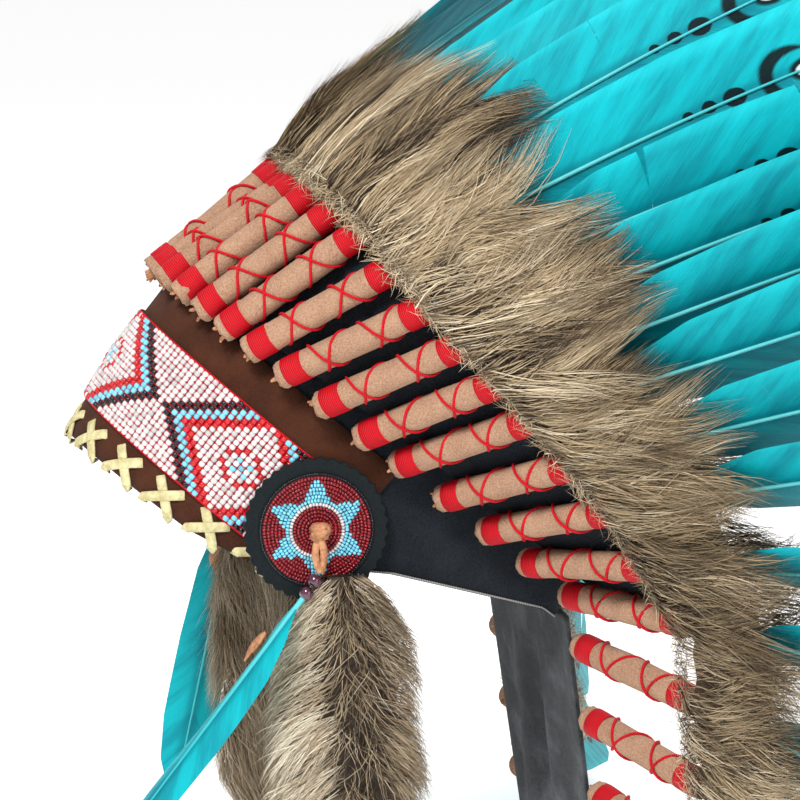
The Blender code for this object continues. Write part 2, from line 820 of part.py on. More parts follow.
def main():
    clear_scene()
    parts = bpy.data.collections.new("feathered_headdress")
    bpy.context.scene.collection.children.link(parts)
    black_felt = material("black_felt", (0.012, 0.014, 0.016), 0.95)
    suede = material("brown_suede", (0.09, 0.032, 0.015), 0.95)
    leather = material("black_leather", (0.015, 0.015, 0.016), 0.6)
    tan_leather = material("tan_leather", (0.55, 0.24, 0.10), 0.7)
    beadwork = material("beadwork", (0.75, 0.72, 0.70), 0.25)
    rosette_beads = material("rosette_beads", (0.20, 0.01, 0.02), 0.25)
    dark_glass = material("dark_glass", (0.06, 0.012, 0.02), 0.1)
    turquoise = material("turquoise_feather", (0.0, 0.45, 0.55), 0.6)
    fur = material("fur", (0.33, 0.26, 0.17), 0.9)

    crown = bpy.data.objects.new("crown_tilt", None)
    crown.rotation_euler = (-CROWN_TILT, 0, 0)
    parts.objects.link(crown)
    for piece in (
        make_dome(black_felt, parts),
        make_hood_side(1, "left", black_felt, parts),
        make_hood_side(-1, "right", black_felt, parts),
        make_band(suede, parts),
        make_strip(beadwork, parts),
    ):
        piece.parent = crown

    seats = plume_seats()
    frames = plume_frames(seats)
    middle = len(seats) // 2
    for k, (seat, frame) in enumerate(zip(seats, frames)):
        side = (k > middle) - (k < middle)
        make_plume(seat, frame, side, turquoise, parts)
    columns = fan_columns(seats, frames)
    bare = 2 * len(TRAILER_PLUMES)
    make_backing(columns[bare:-bare], black_felt, parts)
    make_collar("fur_collar_outer", columns, 1, COLLAR_LENGTH, COLLAR_DEPTH, fur, parts)
    make_collar("fur_collar_inner", columns, -1, COLLAR_INNER_LENGTH, COLLAR_INNER_DEPTH, fur, parts)
    make_trailer(black_felt, parts)

    for side, word in ((1, "left"), (-1, "right")):
        make_rosette(side, word, leather, rosette_beads, parts)
        make_thong(side, word, tan_leather, parts)
        quill_start = make_drop_beads(side, word, dark_glass, parts)
        make_drop_feather(side, word, quill_start, turquoise, parts)
        make_fur_drop(side, word, fur, parts)


main()
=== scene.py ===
"""The looks of the feathered headdress: felt, suede, beadwork, thread wraps, feathers and fur.

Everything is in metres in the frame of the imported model. The front faces -Y, the wearer's left is +X.
"""

import math
from collections import namedtuple
from functools import partial

import bpy
import numpy as np
from mathutils import Matrix, Vector


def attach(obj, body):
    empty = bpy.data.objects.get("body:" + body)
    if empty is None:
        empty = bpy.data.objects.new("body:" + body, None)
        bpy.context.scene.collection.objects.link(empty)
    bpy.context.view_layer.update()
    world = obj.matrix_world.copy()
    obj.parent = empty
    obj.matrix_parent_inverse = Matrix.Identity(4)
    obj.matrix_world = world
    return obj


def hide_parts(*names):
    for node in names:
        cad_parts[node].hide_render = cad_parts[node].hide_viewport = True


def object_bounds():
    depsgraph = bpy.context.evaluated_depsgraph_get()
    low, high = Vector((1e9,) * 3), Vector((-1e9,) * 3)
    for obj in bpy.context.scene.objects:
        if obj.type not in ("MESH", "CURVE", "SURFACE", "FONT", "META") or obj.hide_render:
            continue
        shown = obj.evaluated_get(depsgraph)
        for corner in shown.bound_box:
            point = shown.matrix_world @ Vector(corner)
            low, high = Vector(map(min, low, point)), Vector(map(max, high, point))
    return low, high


bl_info = {
    "name": "Feathered headdress",
    "version": (1, 0, 0),
    "blender": (4, 5, 0),
    "location": "3D View > Sidebar > Headdress",
    "description": "Builds the felt, beadwork, feathers and fur of a feathered headdress",
    "category": "Object",
}

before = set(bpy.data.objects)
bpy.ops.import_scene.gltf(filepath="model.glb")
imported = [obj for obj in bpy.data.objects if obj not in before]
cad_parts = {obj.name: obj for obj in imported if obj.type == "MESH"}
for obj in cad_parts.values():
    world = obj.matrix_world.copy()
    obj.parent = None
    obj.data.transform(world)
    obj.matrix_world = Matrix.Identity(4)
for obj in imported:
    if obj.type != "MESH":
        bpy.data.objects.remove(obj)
CAD_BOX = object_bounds()

# Head opening and hood, the same as the solids
HEAD_LENGTH = 0.198
HEAD_WIDTH = 0.148
CROWN_TILT = math.radians(41)
HOOD_BACK = 0.146
HOOD_HALF_WIDTH = 0.080
HOOD_CORNER = 0.010
DOME_HEIGHT = 0.060
LOW_FLARE = math.radians(8.5)
TOP_FLARE = math.radians(2)

# Thickness of each material, and the gap between two that touch
FELT = 0.0020
SUEDE = 0.0018
LEATHER = 0.0022
BEADWORK = 0.0024
GAP = 0.0003

# Brow band, beaded strip and the line that the rolls sit on
BAND_BELOW = 0.046
BAND_ABOVE = 0.048
STRIP_WIDTH = 0.052
LINE_LEVEL = 0.045
LINE_RISE = 0.009
BAND_REACH = 0.61
STRIP_SHARE = 12 / 15
HEM = 0.0020

# Quill rolls, feathers and the felt under the rolls
ROLL_LENGTH = 0.089
ROLL_DIAMETER = 0.015
ROLL_SEAT = 0.84
QUILL_DIAMETER = 0.0036
FEATHER_LENGTH = 0.300
VANE_WIDTH = 0.062
VANE_CAMBER = 0.0025
SHINGLE = math.radians(11.5)
BARE_QUILL = 0.070
BACKING_START = 0.009
BACKING_SHORT = 0.006
BACKING_CLEARANCE = 0.0009

# Fur collar
COLLAR_START = 0.0034
COLLAR_LENGTH = 0.107
COLLAR_INNER_LENGTH = 0.086
COLLAR_FRONT = 0.62
COLLAR_FULL_AT = 12
COLLAR_DEPTH = 0.0225

# Trailer
TRAILER_LENGTH = 0.168
TRAILER_HALF_WIDTH = 0.083
TRAILER_TAPER = 0.92
TRAILER_SWAY = 0.14
TRAILER_FOLD = 0.005
TRAILER_FOLDS = 2.5

# Rosettes and what hangs from them
ROSETTE_PLACE = 0.555
ROSETTE_TURN = math.radians(3)
BACKING_RADIUS = 0.037
PINKING = 0.0016
PINKING_TEETH = 36
ROSETTE_RADIUS = 0.029
ROSETTE_THICK = 0.0030
ROSETTE_DOME = 0.0016
KNOT_DIAMETER = 0.0100
THONG_DIAMETER = 0.0042
THONG_DROP = 0.020
DROP_BEAD = 0.0072
FUR_DROP_LENGTH = 0.205
FUR_DROP_WIDTH = 0.082
FUR_DROP_DEPTH = 0.034
DROP_FEATHER_LENGTH = 0.175
DROP_FEATHER_WIDTH = 0.036

# What follows from the sizes above
ROLL_RADIUS = ROLL_DIAMETER / 2
QUILL_RADIUS = QUILL_DIAMETER / 2
STRIP_BACK = 2 * GAP + SUEDE
BEAD_FLOOR = LEATHER + GAP
KNOT_LEVEL = LEATHER + GAP + ROSETTE_THICK + GAP + KNOT_DIAMETER / 2

# Wraps, lacing and thread, which only the looks have
ROLL_SIDES = 24
LACE_PITCH = 0.028
LACE_REACH = 0.0135
LACE_LEAN = 0.30 * LACE_PITCH
ROLL_MARGIN = 0.0042
LACING_RADIUS = 0.00078
HEM_THREAD = 0.00055
# radius of the pale line on the trailer's edges, a painted highlight
TRAILER_HIGHLIGHT_LINE = 0.0006
WARP_THREAD = 0.00030
EDGE_THREAD = 0.00062

# Courses of beads of a rosette, and the arms of its star counted in them
RIM_COURSE = 15
WHITE_COURSE = 7
COURSE_PITCH = ROSETTE_RADIUS / 15.3
STAR_ARMS = 6
ARM_END = 14.4
ARM_COURSES = 6.2
ARM_WIDTH = 7.4
BEADS_TO_COURSE = 1.9

# Feathers and fur strands
VANE_OVERLAP = 0.025
QUILL_SUNK = 0.004
DROP_VANE_START = 0.005
DROP_VANE_SHARE = 0.84
DROP_VANE_CAMBER = 0.0052
LOCK_SUNK = 0.0035
FRINGE_SHARE = 0.08
OVER_ROLLS = 0.0012
CORE_SIZE = 0.70
SEAM_TURN = 0.16
SEAM_HALF = 0.30
STRAND_STEPS = 6
DROP_STRAND_STEPS = 5
STRAY_STEPS = 4
STRAY_COUNT = 3600
LOCKS_TO_COLUMN = 3.4
STRANDS_TO_TUFT = 24

# The camera and the floor
CAMERA_AZIMUTH = math.radians(79)
CAMERA_ELEVATION = math.radians(14)
CAMERA_DISTANCE = 1.6
PICTURE_HALF = 0.2105
AIM_RIGHT = 0.0717
AIM_UP = 0.0383
FLOOR_DROP = 0.02
FLOOR_REACH = 30

Plume = namedtuple("Plume", "spread heading pitch bend")
HOOD_PLUMES = (
    Plume(0.0, 0, 32, 8),
    Plume(1.5, 4, 35, 10),
    Plume(2.2, 9, 37, 12),
    Plume(2.3, 14, 37, 13),
    Plume(2.3, 20, 36, 13),
    Plume(3.0, 26, 31, 10),
    Plume(6.0, 31, 27, 7),
    Plume(10.0, 36, 26, 5),
    Plume(11.5, 41, 25, 3),
    Plume(12.0, 45, 23, 2),
    Plume(17.5, 50, 20, 2),
    Plume(16.5, 55, 17, 2),
    Plume(15.5, 60, 10, 2),
    Plume(16.0, 64, 3, 3),
)
TrailerPlume = namedtuple("TrailerPlume", "drop heading pitch bend")
TRAILER_PLUMES = (
    TrailerPlume(0.09, 66, -5, 4),
    TrailerPlume(0.33, 66, -8, 4),
    TrailerPlume(0.58, 66, -11, 4),
    TrailerPlume(0.83, 66, -13, 4),
)
Edge = namedtuple("Edge", "along height")
LOWER_EDGE = (
    Edge(0.00, -1.00),
    Edge(0.38, -0.90),
    Edge(0.50, -0.76),
    Edge(0.62, -0.36),
    Edge(0.73, 0.07),
    Edge(0.88, 0.50),
    Edge(1.00, 0.84),
)
FurRow = namedtuple("FurRow", "along width back depth out")
FUR_ROWS = (
    FurRow(0.00, 0.18, 0.12, 0.20, 0.00),
    FurRow(0.08, 0.52, 0.14, 0.30, -0.005),
    FurRow(0.25, 0.90, 0.18, 0.87, -0.275),
    FurRow(0.60, 1.00, 0.20, 1.00, -0.30),
    FurRow(0.85, 0.90, 0.19, 0.85, -0.30),
    FurRow(1.00, 0.42, 0.17, 0.40, -0.30),
)

# Painted marks along a feather: distance from the tip and from the shaft, and half sizes, in mm.
Mark = namedtuple("Mark", "back aside long wide")
DOTS = (
    Mark(137, 0.8, 2.8, 2.3),
    Mark(126, 1.0, 3.8, 3.1),
    Mark(113, 0.5, 5.8, 4.5),
)
CRESCENT = Mark(84, 0, 16, 14)
CRESCENT_HOLE = Mark(78, 0, 15, 10)
EYE_RING = Mark(76, 0, 9, 5.6)
EYE_WHITE = Mark(76, 0, 6, 3.2)

CROWN = Matrix.Rotation(-CROWN_TILT, 3, "X")
WORLD_DOWN = Vector((0, 0, -1))
SIDES = ((1, "left"), (-1, "right"))


def lerp(a, b, share):
    return a + (b - a) * share


def unit(vectors):
    return vectors / np.maximum(np.linalg.norm(vectors, axis=-1), 1e-9)[..., None]


def between_rows(rows, at):
    if at <= rows[0][0]:
        return rows[0][1]
    for (left, low), (right, high) in zip(rows, rows[1:]):
        if at <= right:
            return lerp(low, high, (at - left) / (right - left))
    return rows[-1][1]


class Outline:
    """Half of the hood's plan at the middle of the strip, walked from the front centre to the back."""

    ARC_STEPS = 60

    def __init__(self):
        length = HEAD_LENGTH / 2 + FELT
        width = HEAD_WIDTH / 2 + FELT
        side_end = HOOD_BACK - HOOD_CORNER
        points = []
        for k in range(self.ARC_STEPS):
            angle = math.radians(90) * k / self.ARC_STEPS
            points.append(Vector((width * math.sin(angle), length * math.cos(angle))))
        for k in range(self.ARC_STEPS):
            share = k / self.ARC_STEPS
            spread = share * share * (3 - 2 * share)
            points.append(Vector((lerp(width, HOOD_HALF_WIDTH, spread), -side_end * share)))
        centre = Vector((HOOD_HALF_WIDTH - HOOD_CORNER, -side_end))
        corner_at = len(points)
        for k in range(self.ARC_STEPS):
            angle = math.radians(90) * k / self.ARC_STEPS
            points.append(centre + HOOD_CORNER * Vector((math.cos(angle), -math.sin(angle))))
        points.append(centre + Vector((0, -HOOD_CORNER)))
        points.append(Vector((0, -HOOD_BACK)))
        self.points = points
        self.lengths = [0.0]
        for a, b in zip(points, points[1:]):
            self.lengths.append(self.lengths[-1] + (b - a).length)
        self.side = self.lengths[corner_at]
        self.whole = self.lengths[-1]

    def at(self, distance):
        sign = -1 if distance < 0 else 1
        reach = min(abs(distance), self.whole)
        k = 0
        while k < len(self.lengths) - 2 and self.lengths[k + 1] < reach:
            k += 1
        near, far = self.points[k], self.points[k + 1]
        share = (reach - self.lengths[k]) / (self.lengths[k + 1] - self.lengths[k])
        point = near.lerp(far, share)
        before = self.points[max(k - 1, 0)]
        after = self.points[min(k + 2, len(self.points) - 1)]
        along = (far - before).normalized().lerp((after - near).normalized(), share)
        if reach < self.lengths[1]:
            along = Vector((1, 0)).lerp(along, reach / self.lengths[1])
        normal = Vector((-along.y, along.x)).normalized()
        return Vector((sign * point.x, point.y)), Vector((sign * normal.x, normal.y))


OUTLINE = Outline()


def wall_point(distance, level, out):
    """A world point out from the hood's outer face, at a level of the crown's own frame."""
    point, normal = OUTLINE.at(distance)
    slope = math.tan(LOW_FLARE if level < 0 else TOP_FLARE)
    moved = point + normal * (out + level * slope)
    return CROWN @ Vector((moved.x, -moved.y, level))


def line_level(distance):
    return LINE_LEVEL + LINE_RISE * min(abs(distance) / OUTLINE.side, 1)


def edge_level(distance):
    height = between_rows(LOWER_EDGE, abs(distance) / OUTLINE.side)
    return height * (BAND_BELOW if height < 0 else LINE_LEVEL)


def direction(heading, pitch, side):
    flat = math.cos(math.radians(pitch))
    return Vector(
        (
            side * flat * math.sin(math.radians(heading)),
            flat * math.cos(math.radians(heading)),
            math.sin(math.radians(pitch)),
        )
    )


def trailer_point(across, drop, behind=0.0):
    seat_out = GAP + FELT / 2 * math.cos(CROWN_TILT)
    top = wall_point(OUTLINE.whole, LINE_LEVEL, seat_out)
    share = drop / TRAILER_LENGTH
    half = TRAILER_HALF_WIDTH * lerp(1, TRAILER_TAPER, share)
    fold = TRAILER_FOLD * share * (1 - abs(across)) * math.cos(TRAILER_FOLDS * math.pi * across)
    return Vector((across * half, top.y + TRAILER_SWAY * drop + behind + fold, top.z - drop))


Seat = namedtuple("Seat", "name base axis bend side")


def plume_seats():
    seat_out = 4 * GAP + max(SUEDE, FELT) + BACKING_CLEARANCE + ROLL_RADIUS
    gap = ROLL_SEAT * ROLL_DIAMETER
    free = OUTLINE.side - gap * (len(HOOD_PLUMES) - 1)
    parts = sum(row.spread for row in HOOD_PLUMES)
    seats = {}
    for side, word in SIDES:
        distance = 0.0
        for k, row in enumerate(HOOD_PLUMES):
            if k:
                distance += gap + free * row.spread / parts
            base = wall_point(side * distance, line_level(distance), seat_out)
            name = f"plume_{word}_{k + 1:02d}" if k else "plume_centre"
            axis = direction(row.heading, row.pitch, side)
            seats[side * k] = Seat(name, base, axis, math.radians(row.bend), side if k else 0)
        for k, row in enumerate(TRAILER_PLUMES, start=len(HOOD_PLUMES)):
            axis = direction(row.heading, row.pitch, side)
            edge = trailer_point(side, row.drop * TRAILER_LENGTH, ROLL_RADIUS / 2)
            base = edge + Vector((side * (ROLL_RADIUS * axis.y + 3 * GAP), 0, 0))
            name = f"plume_{word}_{k + 1:02d}"
            seats[side * k] = Seat(name, base, axis, math.radians(row.bend), side)
    return [seats[k] for k in sorted(seats)]


def plume_frames(seats):
    frames = []
    for k, seat in enumerate(seats):
        before = seats[max(k - 1, 0)].base
        after = seats[min(k + 1, len(seats) - 1)].base
        along = (after - before).normalized()
        face = along.cross(seat.axis).normalized()
        frames.append(Matrix((face.cross(seat.axis), face, seat.axis)).transposed())
    return frames


SEATS = plume_seats()
FRAMES = plume_frames(SEATS)
PLUME_NAMES = [seat.name for seat in SEATS]


def bent(frame_rows, bend, points):
    """Points of a plume's own frame with the feather bent down beyond its roll, as an array."""
    down = frame_rows.T @ np.array(WORLD_DOWN)
    down[2] = 0
    length = np.linalg.norm(down)
    beyond = np.maximum(points[:, 2] - ROLL_LENGTH, 0.0)
    if length < 1e-6:
        return points
    radius = FEATHER_LENGTH / bend
    angle = beyond / radius
    moved = points + np.outer(radius * (1 - np.cos(angle)), down / length)
    moved[:, 2] += radius * np.sin(angle) - beyond
    return moved


def plume_world(k, points):
    """World places of points given as side, face and reach along plume k."""
    seat = SEATS[k]
    rows = np.array(FRAMES[k])
    return np.array(seat.base) + bent(rows, seat.bend, np.asarray(points, float)) @ rows.T


def fan_columns():
    """Base, frame and bend at each plume and halfway between two, as arrays."""
    bases, rows, bends = [], [], []
    for k, (seat, own) in enumerate(zip(SEATS, FRAMES)):
        bases.append(seat.base)
        rows.append(own)
        bends.append(seat.bend)
        if k + 1 < len(SEATS):
            after = SEATS[k + 1]
            axis = (seat.axis + after.axis).normalized()
            face = own.col[1] + FRAMES[k + 1].col[1]
            face = (face - axis * face.dot(axis)).normalized()
            rows.append(Matrix((face.cross(axis), face, axis)).transposed())
            bases.append((seat.base + after.base) / 2)
            bends.append((seat.bend + after.bend) / 2)
    return np.array(bases), np.array([np.array(r) for r in rows]), np.array(bends)


COLUMN_BASES, COLUMN_FRAMES, COLUMN_BENDS = fan_columns()


def column_points(index, reach, off):
    """Points of the fan at whole column numbers, as arrays."""
    rows = COLUMN_FRAMES[index]
    bend = COLUMN_BENDS[index]
    down = np.einsum("nij,i->nj", rows, np.array(WORLD_DOWN))
    down[:, 2] = 0
    down = unit(down)
    beyond = np.maximum(reach - ROLL_LENGTH, 0.0)
    radius = FEATHER_LENGTH / bend
    angle = beyond / radius
    local = down * (radius * (1 - np.cos(angle)))[:, None]
    local[:, 1] += off
    local[:, 2] += reach + radius * np.sin(angle) - beyond
    return COLUMN_BASES[index] + np.einsum("nij,nj->ni", rows, local)


def fan_points(place, reach, off):
    """Points of the fan: place is a column number with a fraction, off is out of the fan."""
    place = np.clip(place, 0, len(COLUMN_BASES) - 1.001)
    low = np.floor(place).astype(int)
    share = (place - low)[:, None]
    near = column_points(low, reach, off)
    far = column_points(low + 1, reach, off)
    return near * (1 - share) + far * share


def rosette_frame(side):
    place = side * ROSETTE_PLACE * OUTLINE.side
    base = wall_point(place, 0.0, 0.0)
    _, normal = OUTLINE.at(place)
    out = CROWN @ Vector((normal.x, -normal.y, 0))
    turned = Matrix.Rotation(-side * ROSETTE_TURN, 3, CROWN @ Vector((0, 0, 1))) @ out
    across = Vector((0, 0, 1)).cross(turned).normalized()
    under = 2 * GAP + SUEDE + BEADWORK
    steps = 6
    stand = 0.0
    for i in range(-steps, steps + 1):
        for k in range(-steps, steps + 1):
            if i * i + k * k <= steps * steps:
                aside, level = BACKING_RADIUS * i / steps, BACKING_RADIUS * k / steps
                point = wall_point(place + aside, level, under)
                stand = max(stand, (point - base).dot(turned))
    own = Matrix((across, turned.cross(across), turned)).transposed()
    return base + turned * (stand + GAP), own


ROSETTES = {side: rosette_frame(side) for side in (1, -1)}


def disc_point(side, up):
    base, own = ROSETTES[side]
    return base + own @ Vector((0, up, KNOT_LEVEL))


def bead_direction(side):
    if side > 0:
        return Vector((0.25, -0.60, -0.76)).normalized()
    return Vector((-0.55, -0.35, -0.76)).normalized()


def feather_direction(side):
    if side > 0:
        return Vector((0.02, -0.62, -0.78)).normalized()
    return Vector((-0.08, -0.20, -0.98)).normalized()


# Shader expressions


class Wire:
    """A socket of a node tree that can be used in sums."""

    def __init__(self, tree, socket):
        self.tree = tree
        self.socket = socket

    def math(self, operation, *others, clamp=False):
        node = self.tree.nodes.new("ShaderNodeMath")
        node.operation = operation
        node.use_clamp = clamp
        for place, value in enumerate((self, *others)):
            if isinstance(value, Wire):
                self.tree.links.new(value.socket, node.inputs[place])
            else:
                node.inputs[place].default_value = value
        return Wire(self.tree, node.outputs[0])

    def __add__(self, other):
        return self.math("ADD", other)

    def __sub__(self, other):
        return self.math("SUBTRACT", other)

    def __rsub__(self, other):
        return (self * -1) + other

    def __mul__(self, other):
        return self.math("MULTIPLY", other)

    def __truediv__(self, other):
        return self.math("DIVIDE", other)

    def __abs__(self):
        return self.math("ABSOLUTE")

    def power(self, exponent):
        return self.math("POWER", exponent)

    def sine(self):
        return self.math("SINE")

    def clamped(self):
        return self.math("ADD", 0.0, clamp=True)

    def step(self, low, high):
        """0 below low, 1 above high, smooth between."""
        node = self.tree.nodes.new("ShaderNodeMapRange")
        node.interpolation_type = "SMOOTHSTEP"
        self.tree.links.new(self.socket, node.inputs["Value"])
        node.inputs["From Min"].default_value = low
        node.inputs["From Max"].default_value = high
        return Wire(self.tree, node.outputs["Result"])


class Finish:
    """One material and its Principled shader."""

    # The mix node has sockets of the same name for numbers and for colours, so these go by place
    MIX_SOCKETS = {"share": 0, "first": 6, "second": 7}

    def __init__(self, name, **constants):
        self.material = bpy.data.materials.new(name)
        self.material.use_nodes = True
        self.tree = self.material.node_tree
        self.shader = self.tree.nodes["Principled BSDF"]
        for socket, value in constants.items():
            self.shader.inputs[socket.replace("_", " ")].default_value = value

    def node(self, kind, settings=None, out=0, **inputs):
        """Any node: its type, its settings, then the values or links of its sockets."""
        made = self.tree.nodes.new(kind)
        for key, value in (settings or {}).items():
            setattr(made, key, value)
        for key, value in inputs.items():
            socket = made.inputs[self.MIX_SOCKETS.get(key, key.replace("_", " "))]
            if isinstance(value, Wire):
                self.tree.links.new(value.socket, socket)
            else:
                socket.default_value = value
        return Wire(self.tree, made.outputs[out])

    def place(self):
        return self.node("ShaderNodeTexCoord", out="Object")

    def noise(self, scale, detail=3.0, rough=0.6, vector=None):
        vector = vector or self.place()
        inputs = {"Vector": vector, "Scale": scale, "Detail": detail, "Roughness": rough}
        return self.node("ShaderNodeTexNoise", out="Fac", **inputs)

    def attribute(self, name):
        return self.node("ShaderNodeAttribute", {"attribute_name": name}, out="Fac")

    def mix(self, share, first, second):
        """Between two colours, each a wire or three numbers."""
        ends = [(*end, 1) if isinstance(end, tuple) else end for end in (first, second)]
        settings = {"data_type": "RGBA"}
        return self.node("ShaderNodeMix", settings, out=2, share=share, first=ends[0], second=ends[1])

    def feed(self, socket, wire):
        self.tree.links.new(wire.socket, self.shader.inputs[socket])

    def bump(self, height, distance, strength=1.0):
        self.feed("Normal", self.node("ShaderNodeBump", Height=height, Distance=distance, Strength=strength))


def felt_finish(name, dark, light, fuzz):
    made = Finish(name, Roughness=0.95, Specular_IOR_Level=0.12, Sheen_Weight=fuzz, Sheen_Roughness=0.5)
    fine = made.noise(1100, 3.0, 0.75)
    broad = made.noise(60, 3.0)
    made.feed("Base Color", made.mix((fine * 1.7 + broad * 0.5 - 0.60).clamped(), dark, light))
    made.bump(fine + made.noise(700, 2.0) * 0.8, 0.0006)
    return made.material


def worn_felt(name):
    """Black felt whose fibres carry painted silvery sheen in broad lighter patches."""
    made = Finish(name, Roughness=0.85, Specular_IOR_Level=0.16, Sheen_Weight=0.10, Sheen_Roughness=0.5)
    fine = made.noise(1300, 3.0, 0.75)
    # Painted sheen: broad lighter patches on the felt's fibres
    sheen_patches = made.noise(34, 5.0, 0.62).step(0.44, 0.74)
    ground = made.mix(sheen_patches, (0.008, 0.010, 0.012), (0.085, 0.092, 0.102))
    made.feed("Base Color", made.mix((fine * 1.8 - 0.75).clamped() * 0.55, ground, (0.17, 0.18, 0.20)))
    made.bump(fine + made.noise(90, 3.0) * 0.9, 0.0009)
    return made.material


def suede_finish(name):
    made = Finish(name, Roughness=0.95, Specular_IOR_Level=0.08, Sheen_Weight=0.04, Sheen_Roughness=0.6)
    fine = made.noise(1500, 2.0, 0.7)
    cloud = made.noise(45, 4.0, 0.65)
    dark = made.mix(cloud.step(0.35, 0.68), (0.016, 0.005, 0.003), (0.054, 0.017, 0.008))
    made.feed("Base Color", made.mix((fine * 1.2 - 0.2).clamped(), dark, (0.098, 0.033, 0.016)))
    made.bump(fine + cloud * 0.8, 0.0005)
    return made.material


def black_leather(name):
    made = Finish(name, Roughness=0.65, Specular_IOR_Level=0.12)
    grain = made.node("ShaderNodeTexVoronoi", out="Distance", Vector=made.place(), Scale=900)
    fine = made.noise(600, 3.0)
    made.feed("Base Color", made.mix(fine, (0.003, 0.005, 0.006), (0.013, 0.018, 0.021)))
    made.bump(grain + fine * 0.5, 0.00025, 0.6)
    return made.material


def soft_leather(name, roughness, scale, fine_scale, blotches, depth, dark, light):
    made = Finish(name, Roughness=roughness)
    cloud = made.noise(scale, 4.0, 0.7)
    made.feed("Base Color", made.mix(cloud.step(0.3, 0.7), dark, light))
    made.bump(made.noise(fine_scale, 2.0) + cloud * blotches, depth)
    return made.material


def thread_finish(name, dark, light, pitch):
    """Wound thread: ribs across the roll, from the distance along it, with painted shade in the grooves
    between turns and painted light on their crests.
    """
    made = Finish(name, Roughness=0.6, Specular_IOR_Level=0.2)
    along = made.attribute("along")
    ribs = (along * (math.tau / pitch)).sine() * 0.5 + 0.5
    fibre = made.noise(2500, 2.0)
    # The colour follows the ribs: painted shade in the grooves, painted light on the crests
    made.feed("Base Color", made.mix((ribs * 0.65 + fibre * 0.45).clamped(), dark, light))
    made.bump(ribs + fibre * 0.25, 0.00025)
    return made.material


# Colours of the seed beads, each with the lower end of its share of the colour number
BEADS = {
    "black": (0.0, (0.006, 0.005, 0.008)),
    "dark_red": (0.15, (0.25, 0.008, 0.015)),
    "red": (0.3, (0.56, 0.010, 0.014)),
    "turquoise": (0.45, (0.20, 0.64, 0.83)),
    "white": (0.6, (0.70, 0.66, 0.65)),
}


def bead_hue(colour):
    return BEADS[colour][0] + 0.05


def glass_beads(name):
    """Seed beads: each has its own colour number, from 0 to 1 in steps."""
    made = Finish(name, Roughness=0.16, Coat_Weight=0.25, Coat_Roughness=0.08, Specular_IOR_Level=0.4)
    colour = made.node("ShaderNodeValToRGB", out="Color", Fac=made.attribute("hue"))
    ramp = colour.socket.node.color_ramp
    ramp.interpolation = "CONSTANT"
    ramp.elements.remove(ramp.elements[1])
    for at, shown in BEADS.values():
        stop = ramp.elements.new(at) if at else ramp.elements[0]
        stop.position = at
        stop.color = (*shown, 1)
    made.feed("Base Color", made.mix(made.attribute("shade") * 0.35, colour, (0.02, 0.01, 0.01)))
    made.feed("Roughness", made.noise(900, 2.0) * 0.15 + 0.10)
    return made.material


def dark_glass(name):
    made = Finish(name, Roughness=0.06, Coat_Weight=0.7, IOR=1.52)
    cloud = made.noise(300, 3.0)
    made.feed("Base Color", made.mix(cloud.step(0.3, 0.7), (0.014, 0.003, 0.010), (0.10, 0.018, 0.045)))
    made.bump(cloud, 0.0002, 0.4)
    return made.material


def feather_finish(name):
    """Dyed barbs with painted black dots and a white eye near the tip."""
    made = Finish(name, Roughness=0.46, Specular_IOR_Level=0.15)
    across = made.attribute("across")
    back = made.attribute("back")
    seed = made.attribute("seed")
    slant = back * 1000 + abs(across) * 1500
    wave = made.node("ShaderNodeCombineXYZ", X=slant * 2.0, Y=seed * 40, Z=across * 60)
    barbs = made.noise(1.0, 3.0, 0.7, wave)
    bundle = made.node("ShaderNodeCombineXYZ", X=slant * 0.07, Y=seed * 91, Z=across * 34)
    bands = made.noise(1.0, 3.0, 0.55, bundle)
    dyed = made.mix(bands.step(0.30, 0.66), (0.0, 0.21, 0.27), (0.0, 0.40, 0.46))
    streaked = made.mix((barbs * 1.5 - 0.45).clamped() * 0.45, dyed, (0.0, 0.64, 0.70))
    # Painted shade: a darker band beside the shaft
    beside = (1 - (abs(across) * 1000).step(1.5, 6.0)) * 0.55
    shaded = made.mix(beside, streaked, (0.0, 0.14, 0.19))
    # Painted shade under the fur collar: darker towards the vane's base
    shade_under_fur = made.mix((back * 1000).step(185, 245) * 0.5, shaded, (0.0, 0.10, 0.13))
    rim = made.mix((abs(across) * 1000).step(23, 30) * 0.35, shade_under_fur, (0.02, 0.66, 0.72))
    x = across * 1000 + (barbs - 0.5) * 1.6
    y = back * 1000 + (seed * 7.3).sine() * 4 + (barbs - 0.5) * 2.4

    def spot(mark, soft=0.16):
        far = ((y - mark.back) / mark.long).power(2) + ((x - mark.aside) / mark.wide).power(2)
        return 1 - far.step(1 - soft, 1 + soft)

    black = spot(DOTS[0])
    for mark in DOTS[1:]:
        black = black.math("MAXIMUM", spot(mark))
    crescent = spot(CRESCENT) * (1 - spot(CRESCENT_HOLE))
    black = black.math("MAXIMUM", crescent).math("MAXIMUM", spot(EYE_RING, 0.3))
    painted = made.attribute("painted")
    marked = made.mix(black * painted * 0.97, rim, (0.001, 0.002, 0.003))
    made.feed("Base Color", made.mix(spot(EYE_WHITE, 0.25) * painted, marked, (0.86, 0.90, 0.88)))
    made.bump(barbs * 0.7 + bands * 0.5, 0.0004)
    return made.material


def shaft_finish(name):
    made = Finish(name, Roughness=0.35, Coat_Weight=0.2)
    back = made.attribute("back")
    cloud = made.noise(400, 3.0)
    tip = made.mix((back * 1000).step(60, 250), (0.01, 0.42, 0.47), (0.16, 0.66, 0.66))
    made.feed("Base Color", made.mix(cloud * 0.4, tip, (0.04, 0.48, 0.52)))
    made.bump(cloud, 0.0002, 0.5)
    return made.material


